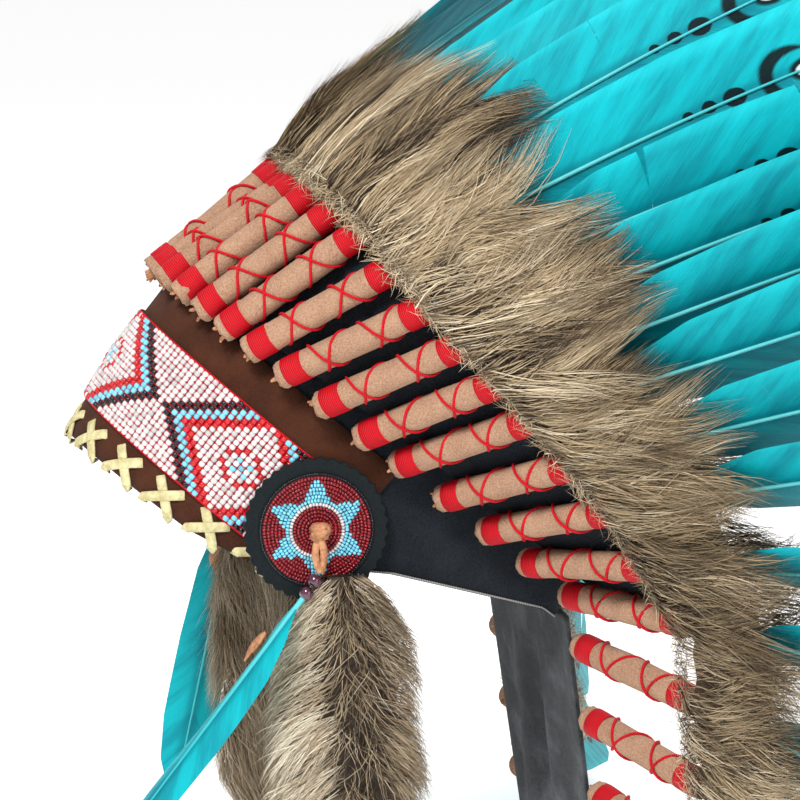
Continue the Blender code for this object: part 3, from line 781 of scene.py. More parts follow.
def fur_finish(name, under, main, pale, dark):
    """Strands by their own numbers: along from root to tip, tone from dark to pale, and tips."""
    made = Finish(name, Roughness=0.55, Specular_IOR_Level=0.2)
    along = made.attribute("along")
    tone = made.attribute("tone")
    # The under colour at the roots and on the underfur is painted shade deep in the fur
    root = made.mix(along.step(0.0, 0.30), under, main)
    body = made.mix(tone.step(0.42, 0.95), root, pale)
    # Low tones go dark: partly the fur's own darker locks, partly painted shade between locks and where the
    # drops' hairs part
    dark_locks_and_shade = made.mix(1 - tone.step(0.0, 0.38), body, dark)
    made.feed("Base Color", made.mix(along.step(0.55, 0.95) * made.attribute("tips"), dark_locks_and_shade, dark))
    made.feed("Roughness", made.noise(500, 2.0) * 0.2 + 0.48)
    return made.material


def floor_paper(name):
    made = Finish(name, Roughness=0.9, Emission_Color=(1, 1, 1, 1), Emission_Strength=0.44)
    grain = made.noise(40, 3.0)
    made.feed("Base Color", made.mix(grain, (0.90, 0.90, 0.90), (0.94, 0.94, 0.94)))
    return made.material


# Each material's maker, with its values
FINISH_MAKERS = {
    "black_felt": (felt_finish, (0.003, 0.004, 0.006), (0.026, 0.033, 0.041), 0.03),
    # the trailer's felt, with painted sheen
    "worn_felt": (worn_felt,),
    "roll_felt": (felt_finish, (0.22, 0.105, 0.060), (0.60, 0.375, 0.245), 0.04),
    "suede": (suede_finish,),
    "black_leather": (black_leather,),
    "tan_leather": (soft_leather, 0.75, 260, 1400, 0.6, 0.0005, (0.30, 0.115, 0.045), (0.62, 0.30, 0.15)),
    "lace_leather": (soft_leather, 0.8, 220, 1200, 0.5, 0.0004, (0.46, 0.40, 0.19), (0.72, 0.65, 0.36)),
    "red_thread": (thread_finish, (0.16, 0.001, 0.003), (0.78, 0.006, 0.018), 0.00105),
    "bare_thread": (thread_finish, (0.34, 0.001, 0.005), (0.74, 0.005, 0.018), 0.0011),
    "pale_thread": (thread_finish, (0.10, 0.10, 0.10), (0.40, 0.39, 0.38), 0.0013),
    "glass_beads": (glass_beads,),
    "dark_glass": (dark_glass,),
    "turquoise_feather": (feather_finish,),
    "feather_shaft": (shaft_finish,),
    "collar_fur": (
        fur_finish,
        (0.095, 0.062, 0.037),
        (0.42, 0.31, 0.18),
        (0.76, 0.64, 0.45),
        (0.026, 0.015, 0.009),
    ),
    "drop_fur": (
        fur_finish,
        (0.070, 0.048, 0.034),
        (0.38, 0.285, 0.18),
        (0.86, 0.77, 0.61),
        (0.026, 0.017, 0.011),
    ),
    "floor_paper": (floor_paper,),
}
FINISHES = {}


def finish(name):
    """The named material, made the first time it is asked for."""
    if name not in FINISHES:
        make, *values = FINISH_MAKERS[name]
        FINISHES[name] = make(name, *values)
    return FINISHES[name]


# Mesh making


class Weave:
    """Collects many small meshes as arrays, each with its own numbers, and joins them into one object."""

    def __init__(self):
        self.points = []
        self.faces = []
        self.numbers = {}
        self.count = 0

    def add(self, points, faces, **numbers):
        points = np.asarray(points, float).reshape(-1, 3)
        self.points.append(points)
        self.faces.append(np.asarray(faces, int) + self.count)
        for key, value in numbers.items():
            self.numbers.setdefault(key, []).append(np.broadcast_to(np.asarray(value, float), len(points)))
        self.count += len(points)

    def add_tube(self, path, radius, sides, wound=False, **numbers):
        """A tube round a path. A wound one keeps the distance along it, for the ribs of its thread."""
        points, faces, run = tube(path, radius, sides)
        if wound:
            numbers["along"] = run
        self.add(points, faces, **numbers)

    def add_rings(self, rings, place=np.asarray, **numbers):
        """Closed rings of points, each joined to the next. place maps local points to the world."""
        faces = grid_faces(len(rings), len(rings[0]), True)
        self.add(place(np.concatenate(rings)), faces, **numbers)

    def make(self, name, finish_name):
        points = np.concatenate(self.points)
        corners = np.concatenate([faces.reshape(-1) for faces in self.faces])
        totals = np.concatenate([np.full(len(faces), faces.shape[1]) for faces in self.faces])
        starts = np.concatenate([[0], np.cumsum(totals)[:-1]])
        mesh = bpy.data.meshes.new(name)
        mesh.vertices.add(len(points))
        mesh.vertices.foreach_set("co", points.astype(np.float32).reshape(-1))
        mesh.loops.add(len(corners))
        mesh.loops.foreach_set("vertex_index", corners.astype(np.int32))
        mesh.polygons.add(len(totals))
        mesh.polygons.foreach_set("loop_start", starts.astype(np.int32))
        mesh.update(calc_edges=True)
        mesh.validate()
        for key, values in self.numbers.items():
            layer = mesh.attributes.new(key, "FLOAT", "POINT")
            layer.data.foreach_set("value", np.concatenate(values).astype(np.float32))
        mesh.materials.append(finish(finish_name))
        mesh.shade_smooth()
        made = bpy.data.objects.new(name, mesh)
        bpy.context.scene.collection.objects.link(made)
        return made


def grid_faces(rows, columns, closed=False):
    """Quads of a grid of rows by columns, joined round where closed is set."""
    across = np.arange(columns if closed else columns - 1)
    after = (across + 1) % columns
    faces = []
    for row in range(rows - 1):
        low, high = row * columns, (row + 1) * columns
        faces.append(np.stack([low + across, low + after, high + after, high + across], axis=1))
    return np.concatenate(faces)


def ring(radius, angle, level):
    """Points round the third axis, as an array."""
    level = np.broadcast_to(level, angle.shape)
    return np.stack([radius * np.cos(angle), radius * np.sin(angle), level], axis=1)


def turns(count):
    """Angles of a whole turn in equal steps."""
    return np.arange(count) * math.tau / count


def placed(base, rows):
    """The map from local points to the world for a base and its three axes, the columns of rows."""
    return lambda points: np.array(base) + np.asarray(points) @ rows.T


def spaced(reach, steps=120):
    """Distances from -reach to reach in equal steps."""
    return [reach * (2 * k / steps - 1) for k in range(steps + 1)]


def tube(path, radius, sides):
    """Points and faces of a tube round a path, with its distance along it."""
    path = np.asarray(path, float)
    ahead = unit(np.gradient(path, axis=0))
    side = unit(np.cross(ahead, np.array((0.31, 0.57, 0.76))))
    up = np.cross(ahead, side)
    angle = turns(sides)[None, :, None]
    radius = np.broadcast_to(radius, len(path))
    around = np.cos(angle) * side[:, None] + np.sin(angle) * up[:, None]
    points = path[:, None] + around * radius[:, None, None]
    run = np.concatenate([[0], np.cumsum(np.linalg.norm(np.diff(path, axis=0), axis=1))])
    return points.reshape(-1, 3), grid_faces(len(path), sides, True), np.repeat(run, sides)


def ribbon(path, width, normal, thick):
    """A flat lace along a path: a closed strip of the given width and thickness."""
    path = np.asarray(path, float)
    ahead = unit(np.gradient(path, axis=0))
    side = unit(np.cross(ahead, np.broadcast_to(np.asarray(normal, float), path.shape)))
    up = np.cross(side, ahead)
    half = np.broadcast_to(width, len(path))[:, None] / 2
    edge = side * half
    shoulder = edge * 0.86
    rise = up * thick
    section = (-edge, rise - shoulder, rise + shoulder, edge)
    points = np.stack([path + part for part in section], axis=1)
    return points.reshape(-1, 3), grid_faces(len(path), 4, True)


def strands(weave, paths, width, face, **numbers):
    """Tapered ribbons, one for each path. paths is strands by steps by 3, face is their outward side."""
    count, steps, _ = paths.shape
    ahead = unit(np.gradient(paths, axis=1))
    side = unit(np.cross(ahead, face[:, None, :]))
    share = np.linspace(0, 1, steps)
    half = width[:, None] / 2 * (1 - share**1.6 * 0.92)[None, :]
    left = paths - side * half[:, :, None]
    right = paths + side * half[:, :, None]
    points = np.stack([left, right], axis=2).reshape(-1, 3)
    start = (np.arange(count) * steps * 2)[:, None]
    low = (np.arange(steps - 1) * 2)[None, :]
    first = (start + low).reshape(-1)
    faces = np.stack([first, first + 1, first + 3, first + 2], axis=1)
    along = np.broadcast_to(share[None, :, None], (count, steps, 2)).reshape(-1)
    spread = {key: np.repeat(value, steps * 2) for key, value in numbers.items()}
    weave.add(points, faces, along=along, **spread)


def shell(name, rows, thickness, finish_name, outward, closed=False):
    """A sheet made solid inward from its outer face."""
    rows = np.array(rows, float)
    weave = Weave()
    weave.add(rows.reshape(-1, 3), grid_faces(rows.shape[0], rows.shape[1], closed))
    made = weave.make(name, finish_name)
    centre = made.data.polygons[len(made.data.polygons) // 2]
    if centre.normal.dot(outward(centre.center)) < 0:
        made.data.flip_normals()
    solid = made.modifiers.new("wall", "SOLIDIFY")
    solid.thickness = thickness
    solid.offset = -1
    solid.use_even_offset = True
    return made


def settle(made, slot, *nodes):
    """Puts a finished piece on the headdress in place of its solids."""
    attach(made, "root")
    if nodes:
        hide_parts(*nodes)


# Pieces


class HeaddressSizes(bpy.types.PropertyGroup):
    """Sizes and counts that a user would change."""

    strand_count: bpy.props.IntProperty(
        name="Collar strands",
        description="Fur strands for each side of each plume",
        default=860,
        min=50,
    )
    drop_strands: bpy.props.IntProperty(
        name="Drop strands",
        description="Fur strands in each fur drop",
        default=9500,
        min=100,
    )
    strand_width: bpy.props.FloatProperty(
        name="Strand width",
        description="Width of one fur strand at its root",
        default=0.00060,
        subtype="DISTANCE",
        unit="LENGTH",
    )
    lace_width: bpy.props.FloatProperty(
        name="Lace width",
        description="Width of the flat lacing on the band's lower edge",
        default=0.0053,
        subtype="DISTANCE",
        unit="LENGTH",
    )
    wrap_length: bpy.props.FloatProperty(
        name="Wrap length",
        description="Length of each red thread wrap on a roll",
        default=0.0115,
        subtype="DISTANCE",
        unit="LENGTH",
    )
    bead_long: bpy.props.FloatProperty(
        name="Bead pitch along",
        description="Distance between beads along the strip",
        default=0.0033,
        subtype="DISTANCE",
        unit="LENGTH",
    )
    bead_rows: bpy.props.IntProperty(
        name="Bead rows",
        description="Rows of beads across the strip",
        default=19,
        min=3,
    )


def sizes():
    return bpy.context.scene.headdress_sizes


class HEADDRESS_OT_stage(bpy.types.Operator):
    """The pale floor, the soft lights and the camera"""

    bl_idname = "headdress.stage"
    bl_label = "Stage"

    def execute(self, context):
        flat = math.cos(CAMERA_ELEVATION)
        right = Vector((math.cos(CAMERA_AZIMUTH), math.sin(CAMERA_AZIMUTH), 0))
        back = Vector((right.y * flat, -right.x * flat, math.sin(CAMERA_ELEVATION)))
        aim = right * AIM_RIGHT + back.cross(right) * AIM_UP
        camera = bpy.data.objects.new("camera", bpy.data.cameras.new("camera"))
        camera.location = back * CAMERA_DISTANCE
        camera.rotation_euler = (aim - camera.location).to_track_quat("-Z", "Y").to_euler()
        camera.data.angle = 2 * math.atan(PICTURE_HALF / CAMERA_DISTANCE)
        camera.data.clip_start = 0.05
        context.scene.collection.objects.link(camera)
        context.scene.camera = camera

        floor = Weave()
        low = CAD_BOX[0].z - FLOOR_DROP
        side = np.linspace(-FLOOR_REACH, FLOOR_REACH, 9)
        floor.add([(x, y, low) for y in side for x in side], grid_faces(len(side), len(side)))
        floor.make("floor", "floor_paper")

        world = bpy.data.worlds.new("soft_light")
        world.use_nodes = True
        sky = world.node_tree.nodes["Background"]
        sky.inputs["Color"].default_value = (1.0, 1.0, 1.0, 1)
        sky.inputs["Strength"].default_value = 0.55
        context.scene.world = world
        for name, place, size, power in (
            ("key", (1.5, -0.9, 1.9), 0.6, 60),
            ("fill", (1.9, 1.2, 0.5), 1.4, 10),
            ("rim", (-0.8, 0.8, 1.6), 1.0, 14),
        ):
            light = bpy.data.objects.new(name, bpy.data.lights.new(name, "AREA"))
            light.data.size = size
            light.data.energy = power
            light.location = place
            light.rotation_euler = (-Vector(place)).to_track_quat("-Z", "Y").to_euler()
            context.scene.collection.objects.link(light)
        context.scene.view_settings.view_transform = "Standard"
        return {"FINISHED"}


class HEADDRESS_OT_felt(bpy.types.Operator):
    """The felt hood, the felt backing under the rolls and the trailer"""

    bl_idname = "headdress.felt"
    bl_label = "Felt"

    def execute(self, context):
        self.hood()
        self.backing()
        self.trailer()
        self.stitching_and_highlight_lines()
        return {"FINISHED"}

    def hood(self):
        distances = spaced(OUTLINE.whole, 180)[:-1]
        middle = Vector((0, (HOOD_BACK - HEAD_LENGTH / 2) / 2, 0))
        untilt = CROWN.inverted()
        rows = []
        for share in (0.0, 0.25, 0.5, 0.75, 1.0):
            row = []
            for d in distances:
                level = lerp(edge_level(d), line_level(d), share) + HEM
                row.append(wall_point(d, level, 0))
            rows.append(row)
        foot_row = [untilt @ point for point in rows[-1]]
        dome_rings = 9
        for k in range(1, dome_rings + 1):
            angle = math.radians(90) * min(k / dome_rings, 0.995)
            row = []
            for foot in foot_row:
                flat = middle + (Vector((foot.x, foot.y, 0)) - middle) * math.cos(angle)
                level = foot.z + DOME_HEIGHT * math.sin(angle)
                row.append(CROWN @ Vector((flat.x, flat.y, level)))
            rows.append(row)
        made = shell("felt_hood", rows, FELT, "black_felt", lambda at: at - CROWN @ middle, closed=True)
        settle(made, "black_felt", "felt_cap", "hood_side_left", "hood_side_right")

    def backing(self):
        """The felt under the rolls, as far as the hood reaches."""
        bare = 2 * len(TRAILER_PLUMES)
        places = np.linspace(bare, len(COLUMN_BASES) - 1 - bare, 240)
        off = -(ROLL_RADIUS + BACKING_CLEARANCE)
        reaches = np.linspace(BACKING_START, ROLL_LENGTH - BACKING_SHORT, 7)
        rows = [fan_points(places, np.full(len(places), reach), off) for reach in reaches]
        face = Vector(COLUMN_FRAMES[bare][:, 1])
        made = shell("felt_under_rolls", rows, FELT, "black_felt", lambda at: face)
        settle(made, "black_felt", "felt_backing")

    def trailer(self):
        rows = []
        for fall in np.linspace(0, 1, 33):
            row = []
            for across in spaced(1, 60):
                ripple = 0.0030 * math.sin(10 * across + 4 * fall) * fall**0.7 * (1 - across**4)
                row.append(trailer_point(across, fall * TRAILER_LENGTH, FELT / 2 + ripple))
            rows.append(row)
        made = shell("felt_trailer", rows, FELT, "worn_felt", lambda at: Vector((0, 1, 0)))
        settle(made, "black_felt", "trailer")

    def stitching_and_highlight_lines(self):
        """The thread along the hood's hem, and pale lines along the trailer's side edges that are painted
        highlights on their folds.
        """
        weave = Weave()
        band_end = BAND_REACH * OUTLINE.side
        walk = np.linspace(band_end * 1.01, OUTLINE.whole * 0.998, 90)
        falls = np.linspace(0.002, TRAILER_LENGTH - 0.002, 40)
        for side, _ in SIDES:
            hem = [wall_point(side * d, edge_level(d) + HEM + 0.0009, 0.0003) for d in walk]
            weave.add_tube(hem, HEM_THREAD, 5, wound=True)
            # A pale line along the trailer's side edge: a painted highlight on its fold
            edge = [trailer_point(side * 0.95, drop, FELT / 2 + 0.0004) for drop in falls]
            weave.add_tube(edge, TRAILER_HIGHLIGHT_LINE, 5, wound=True)
        settle(weave.make("hem_stitching", "pale_thread"), "beadwork")


class HEADDRESS_OT_band(bpy.types.Operator):
    """The suede brow band with the lacing through its lower edge"""

    bl_idname = "headdress.band"
    bl_label = "Brow band"

    def execute(self, context):
        reach = BAND_REACH * OUTLINE.side
        out = GAP + SUEDE
        rows = []
        for share in (0, 0.08, 0.25, 0.5, 0.75, 0.92, 1):
            row = [wall_point(d, lerp(edge_level(d), BAND_ABOVE, share), out) for d in spaced(reach)]
            rows.append(row)
        band = shell("suede_brow_band", rows, SUEDE, "suede", lambda at: Vector((at.x, at.y, 0)))
        settle(band, "brown_suede", "suede_band")

        lace = Weave()
        width = sizes().lace_width
        count = int(reach / LACE_PITCH)
        for k in range(-count, count + 1):
            centre = k * LACE_PITCH
            if abs(centre) > reach - LACE_PITCH * 0.6:
                continue
            _, normal = OUTLINE.at(centre)
            face = CROWN @ Vector((normal.x, -normal.y, -0.15))
            for hand in (1, -1):
                lace.add(*ribbon(self.strap(centre, hand, out), width, face, 0.0009))
        settle(lace.make("band_lacing", "lace_leather"), "tan_leather")
        return {"FINISHED"}

    def strap(self, centre, hand, out):
        """One lace of a cross, from its upper end down over the band and round its lower edge."""
        edge = edge_level(centre)
        path = []
        for share in np.linspace(0, 1, 11):
            level = lerp(edge + LACE_REACH, edge - 0.0006, share)
            aside = centre + hand * LACE_LEAN * (1 - 2 * share)
            lift = 0.0006 * math.sin(math.pi * share) * (1.8 if hand > 0 else 0.6) + 0.0002
            sunk = 0.0016 if share == 0 else 0
            path.append(wall_point(aside, level, out + lift - sunk))
        foot = centre - hand * LACE_LEAN
        path.append(wall_point(foot, edge - 0.0022, out - 0.0010))
        path.append(wall_point(foot, edge - 0.0014, -FELT * 0.6))
        return path


def bead_patch(across_steps=6, turn=math.radians(105)):
    """Half of a barrel bead: x along the strip, y across it, z out. The hole runs along y."""
    levels = ((-0.5, 0.60), (-0.40, 0.88), (0.0, 1.0), (0.40, 0.88), (0.5, 0.60))
    points = []
    for y, size in levels:
        for k in range(across_steps + 1):
            angle = turn * (2 * k / across_steps - 1)
            points.append((size * math.sin(angle), y, size * math.cos(angle)))
    return np.array(points), grid_faces(len(levels), across_steps + 1)


def strip_colour(column, row, rows):
    """The loomed pattern: diamonds outlined in black, turquoise and red, each with a small centre."""
    period = 32
    half = 14
    from_centre = abs((column + period // 2) % period - period // 2)
    from_middle = abs(row - rows // 2)
    away = from_centre + from_middle
    if away in (half, half + 1):
        return "black"
    if away in (half - 1, half - 2):
        return "turquoise"
    if away in (half - 3, half - 4):
        return "red"
    if away <= 2 and from_centre == from_middle:
        return "turquoise"
    if away == 4 and from_centre in (1, 2, 3):
        return "red"
    return "white"


class HEADDRESS_OT_bead_strip(bpy.types.Operator):
    """The loomed strip of seed beads on red thread"""

    bl_idname = "headdress.bead_strip"
    bl_label = "Beaded strip"

    def execute(self, context):
        reach = BAND_REACH * OUTLINE.side * STRIP_SHARE
        self.threads(reach)
        self.beads(reach)
        return {"FINISHED"}

    def threads(self, reach):
        """The ground of woven thread, with a warp thread beside each row of beads."""
        rows = sizes().bead_rows
        distances = spaced(reach)
        weave = Weave()
        section = ((-0.5, 0.0), (-0.5, 0.0011), (0.5, 0.0011), (0.5, 0.0))
        ground = []
        for d in distances:
            ground.append([wall_point(d, share * STRIP_WIDTH, STRIP_BACK + out) for share, out in section])
        weave.add_rings(ground, along=0.0)
        for k in range(rows + 1):
            outer = k in (0, rows)
            level = STRIP_WIDTH * (k / rows - 0.5)
            out = STRIP_BACK + (0.0014 if outer else 0.0016)
            path = [wall_point(d, level, out) for d in distances]
            weave.add_tube(path, EDGE_THREAD if outer else WARP_THREAD, 6 if outer else 5, wound=True)
        settle(weave.make("strip_threads", "bare_thread"), "beadwork", "beaded_strip")

    def beads(self, reach):
        rng = np.random.default_rng(11)
        pitch = sizes().bead_long
        rows = sizes().bead_rows
        tall = STRIP_WIDTH / rows
        patch, patch_faces = bead_patch()
        weave = Weave()
        half = int(reach / pitch)
        for column in range(-half, half + 1):
            place = column * pitch
            _, normal = OUTLINE.at(place)
            ahead = CROWN @ Vector((-normal.y, -normal.x, 0))
            for row in range(rows):
                level = (row - rows // 2) * tall
                slope = LOW_FLARE if level < 0 else TOP_FLARE
                out = CROWN @ Vector((normal.x, -normal.y, -math.tan(slope))).normalized()
                up = out.cross(ahead).normalized()
                if (CROWN @ Vector((0, 0, 1))).dot(up) < 0:
                    up = -up
                size = rng.normal(1.0, 0.035, 3)
                seat = np.array(wall_point(place, level, STRIP_BACK + 0.0012))
                centre = seat + rng.normal(0, 0.00009, 3)
                half_sizes = size * (pitch * 0.50, tall * 0.95, 0.00135)
                basis = np.array((ahead, up, out)) * half_sizes[:, None]
                hue = bead_hue(strip_colour(column, row, rows))
                weave.add(centre + patch @ basis, patch_faces, hue=hue, shade=rng.random() ** 2)
        settle(weave.make("strip_beads", "glass_beads"), "beadwork")


def star_colour(course, angle):
    """A six-pointed star round a white ring, on dark red, with a black rim."""
    if course == RIM_COURSE:
        return "black"
    if course == WHITE_COURSE:
        return "white"
    if course < WHITE_COURSE or course == RIM_COURSE - 1:
        return "dark_red"
    sector = 360 / STAR_ARMS
    from_arm = (math.degrees(angle) - 90 + sector / 2) % sector - sector / 2
    aside = abs(math.radians(from_arm)) * course * BEADS_TO_COURSE
    return "turquoise" if aside < (ARM_END - course) / ARM_COURSES * ARM_WIDTH else "dark_red"


class HEADDRESS_OT_rosettes(bpy.types.Operator):
    """The pinked leather discs with their rings of beads"""

    bl_idname = "headdress.rosettes"
    bl_label = "Rosettes"

    def execute(self, context):
        rng = np.random.default_rng(5)
        for side, word in SIDES:
            base, own = ROSETTES[side]
            on_disc = placed(base, np.array(own))
            self.backing(on_disc, word)
            self.ground(on_disc, word)
            self.beads(on_disc, word, rng)
        return {"FINISHED"}

    def backing(self, on_disc, word):
        """The leather disc with its pinked edge."""
        radius = BACKING_RADIUS - PINKING * np.tile((1, 0.5, 0, 0.5), PINKING_TEETH)
        angle = turns(len(radius))
        levels = (0.0, 0.0, 0.75, 1.0, 1.0, 1.0)
        shares = (0.2, 1.0, 1.0, 0.985, 0.7, 0.02)
        weave = Weave()
        rings = [ring(radius * share, angle, LEATHER * level) for level, share in zip(levels, shares)]
        weave.add_rings(rings, on_disc)
        made = weave.make(f"pinked_leather_{word}", "black_leather")
        made.data.set_sharp_from_angle(angle=math.radians(40))
        settle(made, "black_leather", f"rosette_backing_{word}")

    def ground(self, on_disc, word):
        """The low dome that the beads are sewn to."""
        weave = Weave()
        rings = []
        for share, rise in ((1.0, 0.0), (1.0, 0.0007), (0.6, 0.0015), (0.01, 0.0018)):
            rings.append(ring(ROSETTE_RADIUS * share, turns(48), BEAD_FLOOR + rise))
        weave.add_rings(rings, on_disc)
        made = weave.make(f"rosette_ground_{word}", "black_leather")
        settle(made, "rosette_beads", f"rosette_{word}")

    def beads(self, on_disc, word, rng):
        """Beads in courses round the middle one, the rim's set closer."""
        patch, patch_faces = bead_patch(5, math.radians(95))
        weave = Weave()
        for course in range(RIM_COURSE + 1):
            rim = course == RIM_COURSE
            radius = course * COURSE_PITCH
            count = max(1, round(math.tau * radius / (COURSE_PITCH * (0.72 if rim else 0.88))))
            dome = ROSETTE_DOME * (1 - (radius / ROSETTE_RADIUS) ** 2)
            level = BEAD_FLOOR + dome * 0.75 + (0.0003 if rim else 0.0006)
            long = math.tau * radius / count if course else COURSE_PITCH
            thick = COURSE_PITCH * (0.36 if rim else 0.52)
            start = rng.random() * math.tau
            for k in range(count):
                angle = start + math.tau * k / count
                radial = (math.cos(angle), math.sin(angle), 0)
                around = (-math.sin(angle), math.cos(angle), 0)
                centre = (radius * radial[0], radius * radial[1], level) + rng.normal(0, 0.00006, 3)
                half_sizes = rng.normal(1.0, 0.04, 3) * (thick, long * 0.86, thick * 1.25)
                basis = np.array((radial, around, (0, 0, 1))) * half_sizes[:, None]
                hue = bead_hue(star_colour(course, angle))
                points = on_disc(centre + patch @ basis)
                weave.add(points, patch_faces, hue=hue, shade=rng.random() ** 2)
        settle(weave.make(f"rosette_beads_{word}", "glass_beads"), "rosette_beads")


class HEADDRESS_OT_rolls(bpy.types.Operator):
    """The felt-wrapped quill rolls with their thread wraps, crossed lacing and thong ends"""

    bl_idname = "headdress.rolls"
    bl_label = "Quill rolls"

    def execute(self, context):
        rng = np.random.default_rng(3)
        felt, wraps, lacing, thongs = Weave(), Weave(), Weave(), Weave()
        wrap = sizes().wrap_length
        foot = (ROLL_MARGIN, ROLL_MARGIN + wrap)
        head = (ROLL_LENGTH - ROLL_MARGIN - wrap, ROLL_LENGTH - ROLL_MARGIN)
        for k in range(len(SEATS)):
            self.felt(felt, k, foot, head, rng)
            for wrapped in (foot, head):
                self.wrap(wraps, k, wrapped, rng)
            self.lace(lacing, k, foot[1] - 0.001, head[0] + 0.001, rng)
            self.thong_ends(thongs, k, rng)
        settle(felt.make("roll_felt", "roll_felt"), "black_felt", *PLUME_NAMES)
        settle(wraps.make("roll_thread_wraps", "red_thread"), "beadwork")
        settle(lacing.make("roll_cross_lacing", "bare_thread"), "beadwork")
        settle(thongs.make("roll_thong_ends", "tan_leather"), "tan_leather")
        return {"FINISHED"}

    def felt(self, weave, k, foot, head, rng):
        """A lumpy roll, drawn in under its thread wraps, with ragged lower ends."""
        profile = [(0.0, 0.30), (0.0004, 0.80), (0.0, 0.93), (0.0016, 0.985)]
        profile += [(reach, 0.985) for reach in foot]
        profile += [(reach, 1.0) for reach in np.linspace(foot[1] + 0.001, head[0] - 0.001, 4)]
        profile += [(reach, 0.97) for reach in head]
        profile += [(ROLL_LENGTH - 0.0016, 0.985), (ROLL_LENGTH, 0.90)]
        profile += [(ROLL_LENGTH - 0.0004, 0.70), (ROLL_LENGTH - 0.0008, 0.28)]
        lump = rng.normal(0, 0.00022, (len(profile), ROLL_SIDES))
        lump = (lump + np.roll(lump, 1, 1) + np.roll(lump, -1, 1)) / 2
        rings = []
        for row, (reach, size) in enumerate(profile):
            radius = ROLL_RADIUS * size * 0.975 + lump[row] * (0.4 if size < 0.9 else 1)
            ragged = rng.normal(0, 0.0004, ROLL_SIDES) if row in (1, 2) else 0
            rings.append(ring(radius, turns(ROLL_SIDES), reach + ragged))
        weave.add_rings(rings, partial(plume_world, k))

    def wrap(self, weave, k, wrapped, rng):
        """Red thread wound round a roll, a little uneven and tilted."""
        low = wrapped[0] + rng.normal(0, 0.0005)
        high = wrapped[1] + rng.normal(0, 0.0006)
        reaches = (low, low + 0.0003, lerp(low, high, 0.5), high - 0.0003, high)
        swells = (0.97, 1.02, 1.03, 1.02, 0.97)
        angle = turns(ROLL_SIDES)
        tilt = 0.0003 * np.sin(angle + k)
        rings = [ring(ROLL_RADIUS * size, angle, reach + tilt) for reach, size in zip(reaches, swells)]
        weave.add_rings(rings, partial(plume_world, k), along=np.repeat(reaches, ROLL_SIDES))

    def lace(self, weave, k, low, high, rng):
        """Two threads that cross between the wraps, one over the other."""
        share = np.linspace(0, 1, 49)
        phase = rng.normal(0, 0.22)
        uneven = share + 0.012 * np.sin(share * 9 + k)
        for hand, size in ((1, 1.065), (-1, 1.015)):
            turn = -math.pi / 2 + phase + hand * uneven * 4 * math.pi
            path = ring(ROLL_RADIUS * size, turn, lerp(low, high, share))
            weave.add_tube(plume_world(k, path), LACING_RADIUS, 5, wound=True)

    def thong_ends(self, weave, k, rng):
        """Two short ends of thong below a roll, one to each side."""
        for half_turn in (math.pi, 0):
            angle = rng.random() * math.pi + half_turn
            length = 0.0022 + 0.0026 * rng.random()
            spot = np.array((0.0030 * math.cos(angle), 0.0030 * math.sin(angle), 0))
            path = (spot + (0, 0, 0.001), spot * 1.15 - (0, 0, length * 0.6), spot * 1.5 - (0, 0, length))
            weave.add_tube(plume_world(k, path), (0.0012, 0.0011, 0.0006), 5)


# Half width of a vane at shares of its length, as shares of its whole width
VANE_SHARES = (0.00, 0.08, 0.20, 0.45, 0.75, 0.90, 0.97, 1.00)
VANE_HALVES = (0.10, 0.32, 0.45, 0.50, 0.50, 0.41, 0.25, 0.03)


def feather_vane(weave, place, rng, start, end, width, lean, painted, camber=VANE_CAMBER):
    """One vane as bundles of barbs that split from each other at the edge. place maps local to world."""
    seed = rng.random()
    twist = rng.normal(0, 0.10)
    step = np.linspace(0, 1, 6)[None, :]
    for side in (1, -1):
        at = 0.0
        while at < 1.0:
            size = min(rng.gamma(3.0, 0.045) + 0.03, 1.0 - at)
            if 1.0 - at - size < 0.02:
                size = 1.0 - at
            split = 0.4 * rng.random() if painted and rng.random() < 0.10 else 0.0
            lift = rng.normal(0, 0.0005) if split else 0.0
            trim = 1 - (0.03 if split else 0.01) * rng.random()
            rows = max(2, int(size * 60) + 1)
            share = at + size * np.linspace(0, 1, rows)[:, None]
            x = np.interp(share, VANE_SHARES, VANE_HALVES) * width * trim * step
            slant = 0.42 * x * (1 - 0.45 * step) * np.maximum(1 - share, 0) ** 0.4
            squeeze = (at + size / 2 - share) * split * 0.35 * step**2 * (end - start)
            z = np.minimum(lerp(start, end, share) + slant + squeeze, end + 0.001)
            wave = 0.0012 * np.sin(7 * share + 6 * seed) * step
            y = lift * step**2 + wave - camber * (2 * x / width) ** 2
            x = side * x
            turn = lean + twist * share
            points = (x * np.cos(turn) - y * np.sin(turn), x * np.sin(turn) + y * np.cos(turn), z)
            marks = {"across": x.reshape(-1), "back": (end - z).reshape(-1), "seed": seed, "painted": painted}
            weave.add(place(np.stack(points, axis=-1).reshape(-1, 3)), grid_faces(rows, 6), **marks)
            at += size


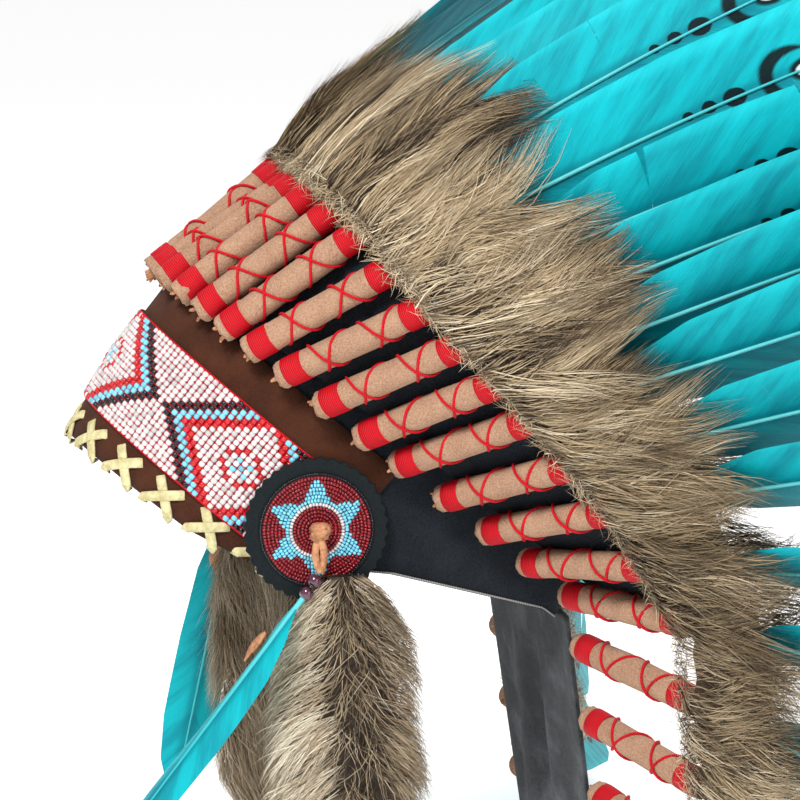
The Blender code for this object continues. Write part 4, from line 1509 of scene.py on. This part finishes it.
class HEADDRESS_OT_feathers(bpy.types.Operator):
    """The dyed feathers of the fan with their shafts"""

    bl_idname = "headdress.feathers"
    bl_label = "Feathers"

    def execute(self, context):
        rng = np.random.default_rng(8)
        vanes, shafts = Weave(), Weave()
        start = ROLL_LENGTH + BARE_QUILL - VANE_OVERLAP
        end = ROLL_LENGTH + FEATHER_LENGTH
        steps = 26
        reach = np.linspace(ROLL_LENGTH - QUILL_SUNK, end - 0.004, steps)
        path = np.stack([np.zeros(steps), np.full(steps, 0.0004), reach], axis=1)
        radius = QUILL_RADIUS * np.linspace(0.74, 0.24, steps)
        for k, seat in enumerate(SEATS):
            on_plume = partial(plume_world, k)
            width = VANE_WIDTH * rng.normal(1.0, 0.03)
            feather_vane(vanes, on_plume, rng, start, end, width, seat.side * SHINGLE, 1.0)
            shafts.add_tube(on_plume(path), radius, 8, back=np.repeat(end - reach, 8))
        settle(vanes.make("fan_feathers", "turquoise_feather"), "turquoise_feather")
        settle(shafts.make("fan_shafts", "feather_shaft"), "turquoise_feather")
        return {"FINISHED"}


# How far the fur stands off the quills at shares of its length, as shares of its depth
COLLAR_SHARES = (0.0, 0.12, 0.35, 0.7, 1.0)
COLLAR_HEIGHTS = (0.45, 0.78, 1.0, 0.98, 0.80)


def collar_swell(place):
    """The share of its whole depth that the collar has at a column: less over the brow."""
    away = np.abs(place - (len(COLUMN_BASES) - 1) / 2) / COLLAR_FULL_AT
    return lerp(COLLAR_FRONT, 1.0, np.minimum(away, 1.0))


class HEADDRESS_OT_collar(bpy.types.Operator):
    """The fur collar: tufts of long strands round the tops of the rolls"""

    bl_idname = "headdress.collar"
    bl_label = "Fur collar"

    def execute(self, context):
        rng = np.random.default_rng(21)
        for face, whole, word in ((1, COLLAR_LENGTH, "outer"), (-1, COLLAR_INNER_LENGTH, "inner")):
            self.underfur(face, whole, word)
            self.locks(rng, face, whole, word)
        self.strays(rng, STRAY_COUNT)
        return {"FINISHED"}

    def underfur(self, face, whole, word):
        """The dense fur under the long strands, in a dark colour that paints the shade deep in the fur."""
        near = QUILL_RADIUS + 2 * GAP
        places = np.linspace(0, len(COLUMN_BASES) - 1.01, 210)
        rows = []
        for share, height in ((0.02, 0), (0.02, 0.22), (0.15, 0.50), (0.35, 0.50), (0.50, 0.20), (0.3, 0)):
            off = face * np.maximum(COLLAR_DEPTH * collar_swell(places) * height, near * 0.9)
            wobble = 0.0012 * np.sin(places * 7.3 + height * 9)
            rows.append(fan_points(places, ROLL_LENGTH + COLLAR_START + whole * share + wobble, off))
        weave = Weave()
        weave.add_rings(np.stack(rows, axis=1), along=0.0, tone=0.35, tips=0.0)
        settle(weave.make(f"collar_underfur_{word}", "collar_fur"), "fur", f"fur_collar_{word}")

    def locks(self, rng, face, whole, word):
        """The long strands, in parts along the fan."""
        parts, fullness = (4, 1.0) if face > 0 else (2, 0.55)
        span = (len(COLUMN_BASES) - 1) / parts
        count = int(sizes().strand_count * fullness * span / 2)
        for part in range(parts):
            weave = Weave()
            self.tufts(rng, weave, part * span, span, count, face, whole)
            settle(weave.make(f"collar_fur_{word}_{part + 1}", "collar_fur"), "fur")

    def strays(self, rng, count):
        """Short hairs that lie back over the tops of the rolls and hide their edge."""
        place = rng.uniform(0, len(COLUMN_BASES) - 1, count)
        reach = ROLL_LENGTH + rng.uniform(-0.001, 0.006, count)
        off = ROLL_RADIUS + rng.uniform(0.0008, 0.0036, count)
        heading = math.pi + rng.normal(0, 0.75, count)
        curl = rng.normal(0, 1.3, count)
        long = rng.uniform(0.004, 0.013, count)
        stride = long / (STRAY_STEPS - 1)
        column_width = 0.007
        paths = np.zeros((count, STRAY_STEPS, 3))
        for step in range(STRAY_STEPS):
            paths[:, step] = fan_points(place, reach, off)
            turn = heading + curl * step / STRAY_STEPS
            reach = reach + np.cos(turn) * stride
            place = place + np.sin(turn) * stride / column_width
            off = off + rng.normal(0.0002, 0.0003, count)
        weave = Weave()
        column = np.clip(place, 0, len(COLUMN_FRAMES) - 1).astype(int)
        width = sizes().strand_width * rng.uniform(0.4, 0.8, count)
        tone = np.clip(rng.normal(0.42, 0.18, count) + 0.2 * np.sin(place * 3.1), 0, 1)
        strands(weave, paths, width, COLUMN_FRAMES[column][:, :, 1], tone=tone, tips=np.zeros(count))
        settle(weave.make("collar_stray_hairs", "collar_fur"), "fur")

    def tufts(self, rng, weave, low, span, count, face, whole):
        """Locks of strands that gather to their tips. Each lock has its own place, length and tone."""
        root = ROLL_LENGTH + COLLAR_START - LOCK_SUNK
        locks = max(int(span * LOCKS_TO_COLUMN), 1)
        lock = rng.integers(0, locks, count)
        centre = (low + span * (rng.permutation(locks) + 0.5) / locks)[lock]
        layer = rng.random(locks)[lock]
        fringe = rng.random(count) < FRINGE_SHARE
        low_start = rng.uniform(-0.05, 0.02, count)
        layer_start = layer * 0.48 + rng.normal(0, 0.035, count)
        start = np.clip(np.where(fringe, low_start, layer_start), -0.05, 0.60)
        length = rng.uniform(0.50, 0.72, locks)[lock] * rng.uniform(0.55, 1.05, count)
        place = centre + rng.normal(0, 0.42, count)
        lean = rng.normal(0.0, 0.42, locks)[lock] + rng.normal(0, 0.12, count)
        sweep = rng.normal(0, 0.30, locks)[lock]
        gather = np.clip(rng.normal(0.68, 0.20, count), 0.0, 0.98)
        rise = rng.normal(0.0, 0.030, locks)[lock] + rng.normal(0, 0.024, count)
        deep = np.where(fringe, 0.97, rng.uniform(0.66, 0.95, count))
        near = QUILL_RADIUS + 2 * GAP
        swell = COLLAR_DEPTH * collar_swell(centre)
        paths = np.zeros((count, STRAND_STEPS, 3))
        for step, share in enumerate(np.linspace(0, 1, STRAND_STEPS)):
            at = np.clip(start + length * share, 0.0, 1.04)
            level = swell * np.interp(at, COLLAR_SHARES, COLLAR_HEIGHTS)
            level = np.where(at < 0.08, np.maximum(level, ROLL_RADIUS + OVER_ROLLS), level)
            level = level * (deep + (1.0 - deep) * share**0.7)
            level = np.maximum(level + COLLAR_DEPTH * rise * share**2 * 4, near)
            here = place + (centre - place) * gather * share**1.2 + lean * share**1.5
            curl = 0.0013 * np.sin(share * 5 + lock * 1.7) * share
            here = here + sweep * np.sin(share * math.pi) + 0.06 * np.sin(share * 6 + lock * 2.3) * share
            reach = np.minimum(root + whole * (start + length * share), root + whole * 1.06)
            paths[:, step] = fan_points(here, reach, face * (level + curl))
        column = np.clip(np.floor(place), 0, len(COLUMN_FRAMES) - 1).astype(int)
        normal = COLUMN_FRAMES[column][:, :, 1] * face
        normal = normal + COLUMN_FRAMES[column][:, :, 0] * rng.normal(0, 0.45, count)[:, None]
        width = sizes().strand_width * rng.uniform(0.6, 1.2, count)
        streak = np.sin(place * 9.0 + lock) * 0.10
        tone = rng.beta(1.2, 1.5, locks)[lock] * 0.78 + streak + rng.normal(0.10, 0.14, count)
        # Strands towards the edges of a lock are darker: painted shade between the locks
        edge = np.clip(np.abs(place - centre) / 0.9, 0, 1)
        tone = np.clip(tone - 0.26 * edge, 0, 1)
        tips = (rng.random(count) < 0.45 + 0.3 * layer) * rng.uniform(0.4, 1.0, count)
        strands(weave, paths, width, normal, tone=tone, tips=tips)


def fur_row(along):
    for near, far in zip(FUR_ROWS, FUR_ROWS[1:]):
        if along <= far.along:
            share = (along - near.along) / (far.along - near.along)
            return FurRow(*(lerp(a, b, share) for a, b in zip(near, far)))
    return FUR_ROWS[-1]


FUR_TABLE = np.array([fur_row(k / 100) for k in range(101)])


def drop_points(side, top, along, angle, size, full=0.0):
    """Points on a fur drop's form, as arrays: share of its length, angle round it, share of its size.

    full widens its top: the form's width is read that much further down.
    """
    row = FUR_TABLE[np.clip(((along + full) * 100).astype(int), 0, 100)]
    x = side * FUR_DROP_DEPTH * (row[:, 4] + row[:, 3] / 2 * size * np.cos(angle))
    y = FUR_DROP_WIDTH * (row[:, 2] + row[:, 1] / 2 * size * np.sin(angle))
    return np.array(top) + np.stack([x, y, -along * FUR_DROP_LENGTH], axis=1)


class HEADDRESS_OT_drops(bpy.types.Operator):
    """The knotted thongs, dark beads, loose feathers and fur drops under the rosettes"""

    bl_idname = "headdress.drops"
    bl_label = "Drops"

    def execute(self, context):
        rng = np.random.default_rng(33)
        for side, word in SIDES:
            self.thong(side, word)
            start = self.beads(side, word)
            self.feather(side, word, start, rng)
            self.fur(side, word, rng)
        return {"FINISHED"}

    def thong(self, side, word):
        """The knot on the rosette and the two ends that hang from it, in the rosette's own frame."""
        base, own = ROSETTES[side]
        on_disc = placed(base, np.array(own))
        t = np.linspace(0, math.tau * 1.35, 40)
        knot = (
            0.0030 * np.sin(t * 2) + 0.0008,
            0.0026 * np.cos(t) + 0.0004,
            0.0022 * np.sin(t + 0.6) - 0.0010,
        )
        s = np.linspace(0, 1, 18)
        longer = (
            0.0024 * np.sin(s * math.pi),
            -0.002 - THONG_DROP * 0.92 * s,
            0.0004 * np.sin(7 * s) - 0.002 * (1 - s),
        )
        shorter = (
            -0.0020 * np.sin(s * math.pi),
            -0.002 - THONG_DROP * 0.90 * s,
            0.0006 - 0.003 * (1 - s),
        )
        weave = Weave()
        for path, radius in ((knot, 0.0027), (longer, 0.0021), (shorter, 0.0019)):
            weave.add_tube(on_disc(np.stack(path, axis=1) + (0, 0, KNOT_LEVEL)), radius, 8)
        settle(weave.make(f"knotted_thong_{word}", "tan_leather"), "tan_leather", f"thong_{word}")

    def beads(self, side, word):
        """The two dark beads. Returns where the drop feather starts."""
        radius = DROP_BEAD / 2
        aim = bead_direction(side)
        centre = disc_point(side, -THONG_DROP) + aim * (THONG_DIAMETER / 4 + radius + GAP)
        rows = np.array(aim.to_track_quat("Z", "Y").to_matrix())
        rings = []
        for level in np.linspace(-0.97, 0.97, 13):
            size = math.sqrt(max(1 - abs(level) ** 2.4, 0.02))
            rings.append(ring(radius * size, turns(20), radius * level * 0.94))
        rings.append(rings[-1] * (0.45, 0.45, 0) + (0, 0, radius * 0.5))
        for number in (1, 2):
            weave = Weave()
            weave.add_rings(rings, placed(centre, rows))
            made = weave.make(f"dark_bead_{word}_{number}", "dark_glass")
            settle(made, "dark_glass", f"thong_bead_{word}_{number}")
            last = centre
            centre = centre + aim * (DROP_BEAD + GAP)
        return last + feather_direction(side) * (radius + GAP)

    def feather(self, side, word, start, rng):
        """The loose feather with its shaft and the small leather leaf beside it."""
        aim = feather_direction(side)
        sight = Vector((1, 0.15, 0)) if side > 0 else Vector((0, 1, 0))
        across = (sight - aim * sight.dot(aim)).normalized()
        rows = np.array(Matrix((across, aim.cross(across), aim)).transposed())
        place = placed(start, rows)
        vane, quill, tie = Weave(), Weave(), Weave()
        width = DROP_FEATHER_WIDTH * DROP_VANE_SHARE
        ends = (DROP_VANE_START, DROP_FEATHER_LENGTH)
        feather_vane(vane, place, rng, *ends, width, 0.0, 0.0, DROP_VANE_CAMBER)
        reach = np.linspace(-0.001, DROP_FEATHER_LENGTH - 0.003, 20)
        radius = QUILL_RADIUS * np.linspace(0.8, 0.2, 20)
        back = np.repeat(DROP_FEATHER_LENGTH - reach, 8)
        quill.add_tube(place(np.outer(reach, (0, 0, 1))), radius, 8, back=back)
        share = np.linspace(0, 1, 12)
        leaf = (
            -0.0045 - 0.002 * np.sin(share * math.pi),
            np.full(12, 0.0022),
            0.024 + 0.018 * share,
        )
        wide = 0.0012 + 0.0060 * np.sin(np.clip(share * 1.15, 0, 1) * math.pi) ** 0.8
        tie.add(*ribbon(place(np.stack(leaf, axis=1)), wide, rows[:, 1], 0.0012))
        settle(tie.make(f"loose_feather_tie_{word}", "tan_leather"), "tan_leather")
        made = vane.make(f"loose_feather_{word}", "turquoise_feather")
        settle(made, "turquoise_feather", f"drop_feather_{word}")
        settle(quill.make(f"loose_shaft_{word}", "feather_shaft"), "turquoise_feather")

    def fur(self, side, word, rng):
        """Long strands that sweep away from a seam darkened with painted shade, a little behind the middle of
        the outer face.
        """
        top = disc_point(side, -THONG_DROP) - Vector((0, 0, THONG_DIAMETER / 2 + GAP))
        core = Weave()
        angle = turns(24)
        rings = []
        for along in np.linspace(0, 0.97, 18):
            rings.append(drop_points(side, top, np.full(len(angle), along), angle, CORE_SIZE))
        # A tone near 0 makes the core near-black: a dark sheet inside the strands as painted shade between
        # the hairs
        core.add_rings(rings, along=0.1, tone=0.06, tips=0.0)
        settle(core.make(f"fur_drop_core_{word}", "drop_fur"), "fur", f"fur_drop_{word}")

        count = sizes().drop_strands
        tufts = count // STRANDS_TO_TUFT
        tuft = rng.integers(0, tufts, count)
        start = (rng.permutation(tufts)[tuft] + 0.5) / tufts * 0.96 + rng.normal(0, 0.024, count)
        start = np.clip(start, 0, 0.97)
        around = rng.uniform(-math.pi, math.pi, tufts)[tuft] + rng.normal(0, 0.19, count)
        around = (around + math.pi) % math.tau - math.pi
        away = np.where(np.abs(around) < SEAM_HALF, rng.choice((-1.0, 1.0), count), np.sign(around))
        sweep = rng.uniform(0.65, 1.25, tufts)[tuft] * rng.uniform(0.6, 1.15, count)
        sweep = sweep * away * np.clip((math.pi - np.abs(around)) / 1.2, 0, 1)
        sweep = sweep * np.where(np.abs(around) < SEAM_HALF, rng.uniform(0.1, 0.7, count), 1.0)
        length = rng.uniform(0.055, 0.145, count) + 0.10 * np.clip(np.abs(around) - 1.5, 0, 1)
        length = length * (1 + 0.6 * np.clip(start * 1.4 - 0.4, 0, 1))
        spread = rng.uniform(0.80, 1.10, tufts)[tuft] * rng.uniform(0.90, 1.10, count)
        spread = spread + (rng.random(count) < 0.05) * rng.uniform(0.1, 0.5, count)
        waves = rng.uniform(0, math.tau, tufts)[tuft]
        paths = np.zeros((count, DROP_STRAND_STEPS, 3))
        for step, share in enumerate(np.linspace(0, 1, DROP_STRAND_STEPS)):
            along = np.minimum(start + length * share**1.3, 1.03)
            turn = SEAM_TURN + around + sweep * share**0.8 + 0.06 * np.sin(share * 5 + waves)
            size = 0.69 + (0.38 * share**0.7) * spread
            paths[:, step] = drop_points(side, top, along, turn, size, 0.05)
        centre = drop_points(side, top, start, SEAM_TURN + around, 0.0)
        normal = unit(paths[:, 0] - centre) + rng.normal(0, 0.45, (count, 3))
        width = sizes().strand_width * rng.uniform(0.6, 1.15, count)
        pale = np.exp(-(((around + 0.78) / 0.24) ** 2)) * 0.55
        # Strands where the hairs part are darker: painted shade at the seam
        parting_shade = np.exp(-((around / 0.20) ** 2)) * 0.34
        tone = rng.beta(1.5, 1.6, tufts)[tuft] * 0.60 + 0.16 + pale - parting_shade
        tone = np.clip(tone + rng.normal(0, 0.10, count), 0, 1)
        tips = (rng.random(count) < 0.40) * rng.uniform(0.3, 0.9, count) * (pale < 0.25)
        weave = Weave()
        strands(weave, paths, width, normal, tone=tone, tips=tips)
        settle(weave.make(f"fur_drop_strands_{word}", "drop_fur"), "fur")


class HEADDRESS_PT_panel(bpy.types.Panel):
    """Lists the pieces and their sizes"""

    bl_idname = "HEADDRESS_PT_panel"
    bl_label = "Feathered headdress"
    bl_space_type = "VIEW_3D"
    bl_region_type = "UI"
    bl_category = "Headdress"

    def draw(self, context):
        for key in HeaddressSizes.__annotations__:
            self.layout.prop(context.scene.headdress_sizes, key)
        for operator in OPERATORS:
            self.layout.operator(operator.bl_idname)


OPERATORS = (
    HEADDRESS_OT_stage,
    HEADDRESS_OT_felt,
    HEADDRESS_OT_band,
    HEADDRESS_OT_bead_strip,
    HEADDRESS_OT_rosettes,
    HEADDRESS_OT_rolls,
    HEADDRESS_OT_feathers,
    HEADDRESS_OT_collar,
    HEADDRESS_OT_drops,
)


def register():
    for thing in (HeaddressSizes, *OPERATORS, HEADDRESS_PT_panel):
        bpy.utils.register_class(thing)
    bpy.types.Scene.headdress_sizes = bpy.props.PointerProperty(type=HeaddressSizes)


def unregister():
    del bpy.types.Scene.headdress_sizes
    for thing in (HEADDRESS_PT_panel, *reversed(OPERATORS), HeaddressSizes):
        bpy.utils.unregister_class(thing)


def write_sizes():
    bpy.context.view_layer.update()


def main():
    register()
    bpy.ops.headdress.stage()
    bpy.ops.headdress.felt()
    bpy.ops.headdress.band()
    bpy.ops.headdress.bead_strip()
    bpy.ops.headdress.rosettes()
    bpy.ops.headdress.rolls()
    bpy.ops.headdress.feathers()
    bpy.ops.headdress.collar()
    bpy.ops.headdress.drops()
    write_sizes()


if __name__ == "__main__":
    main()
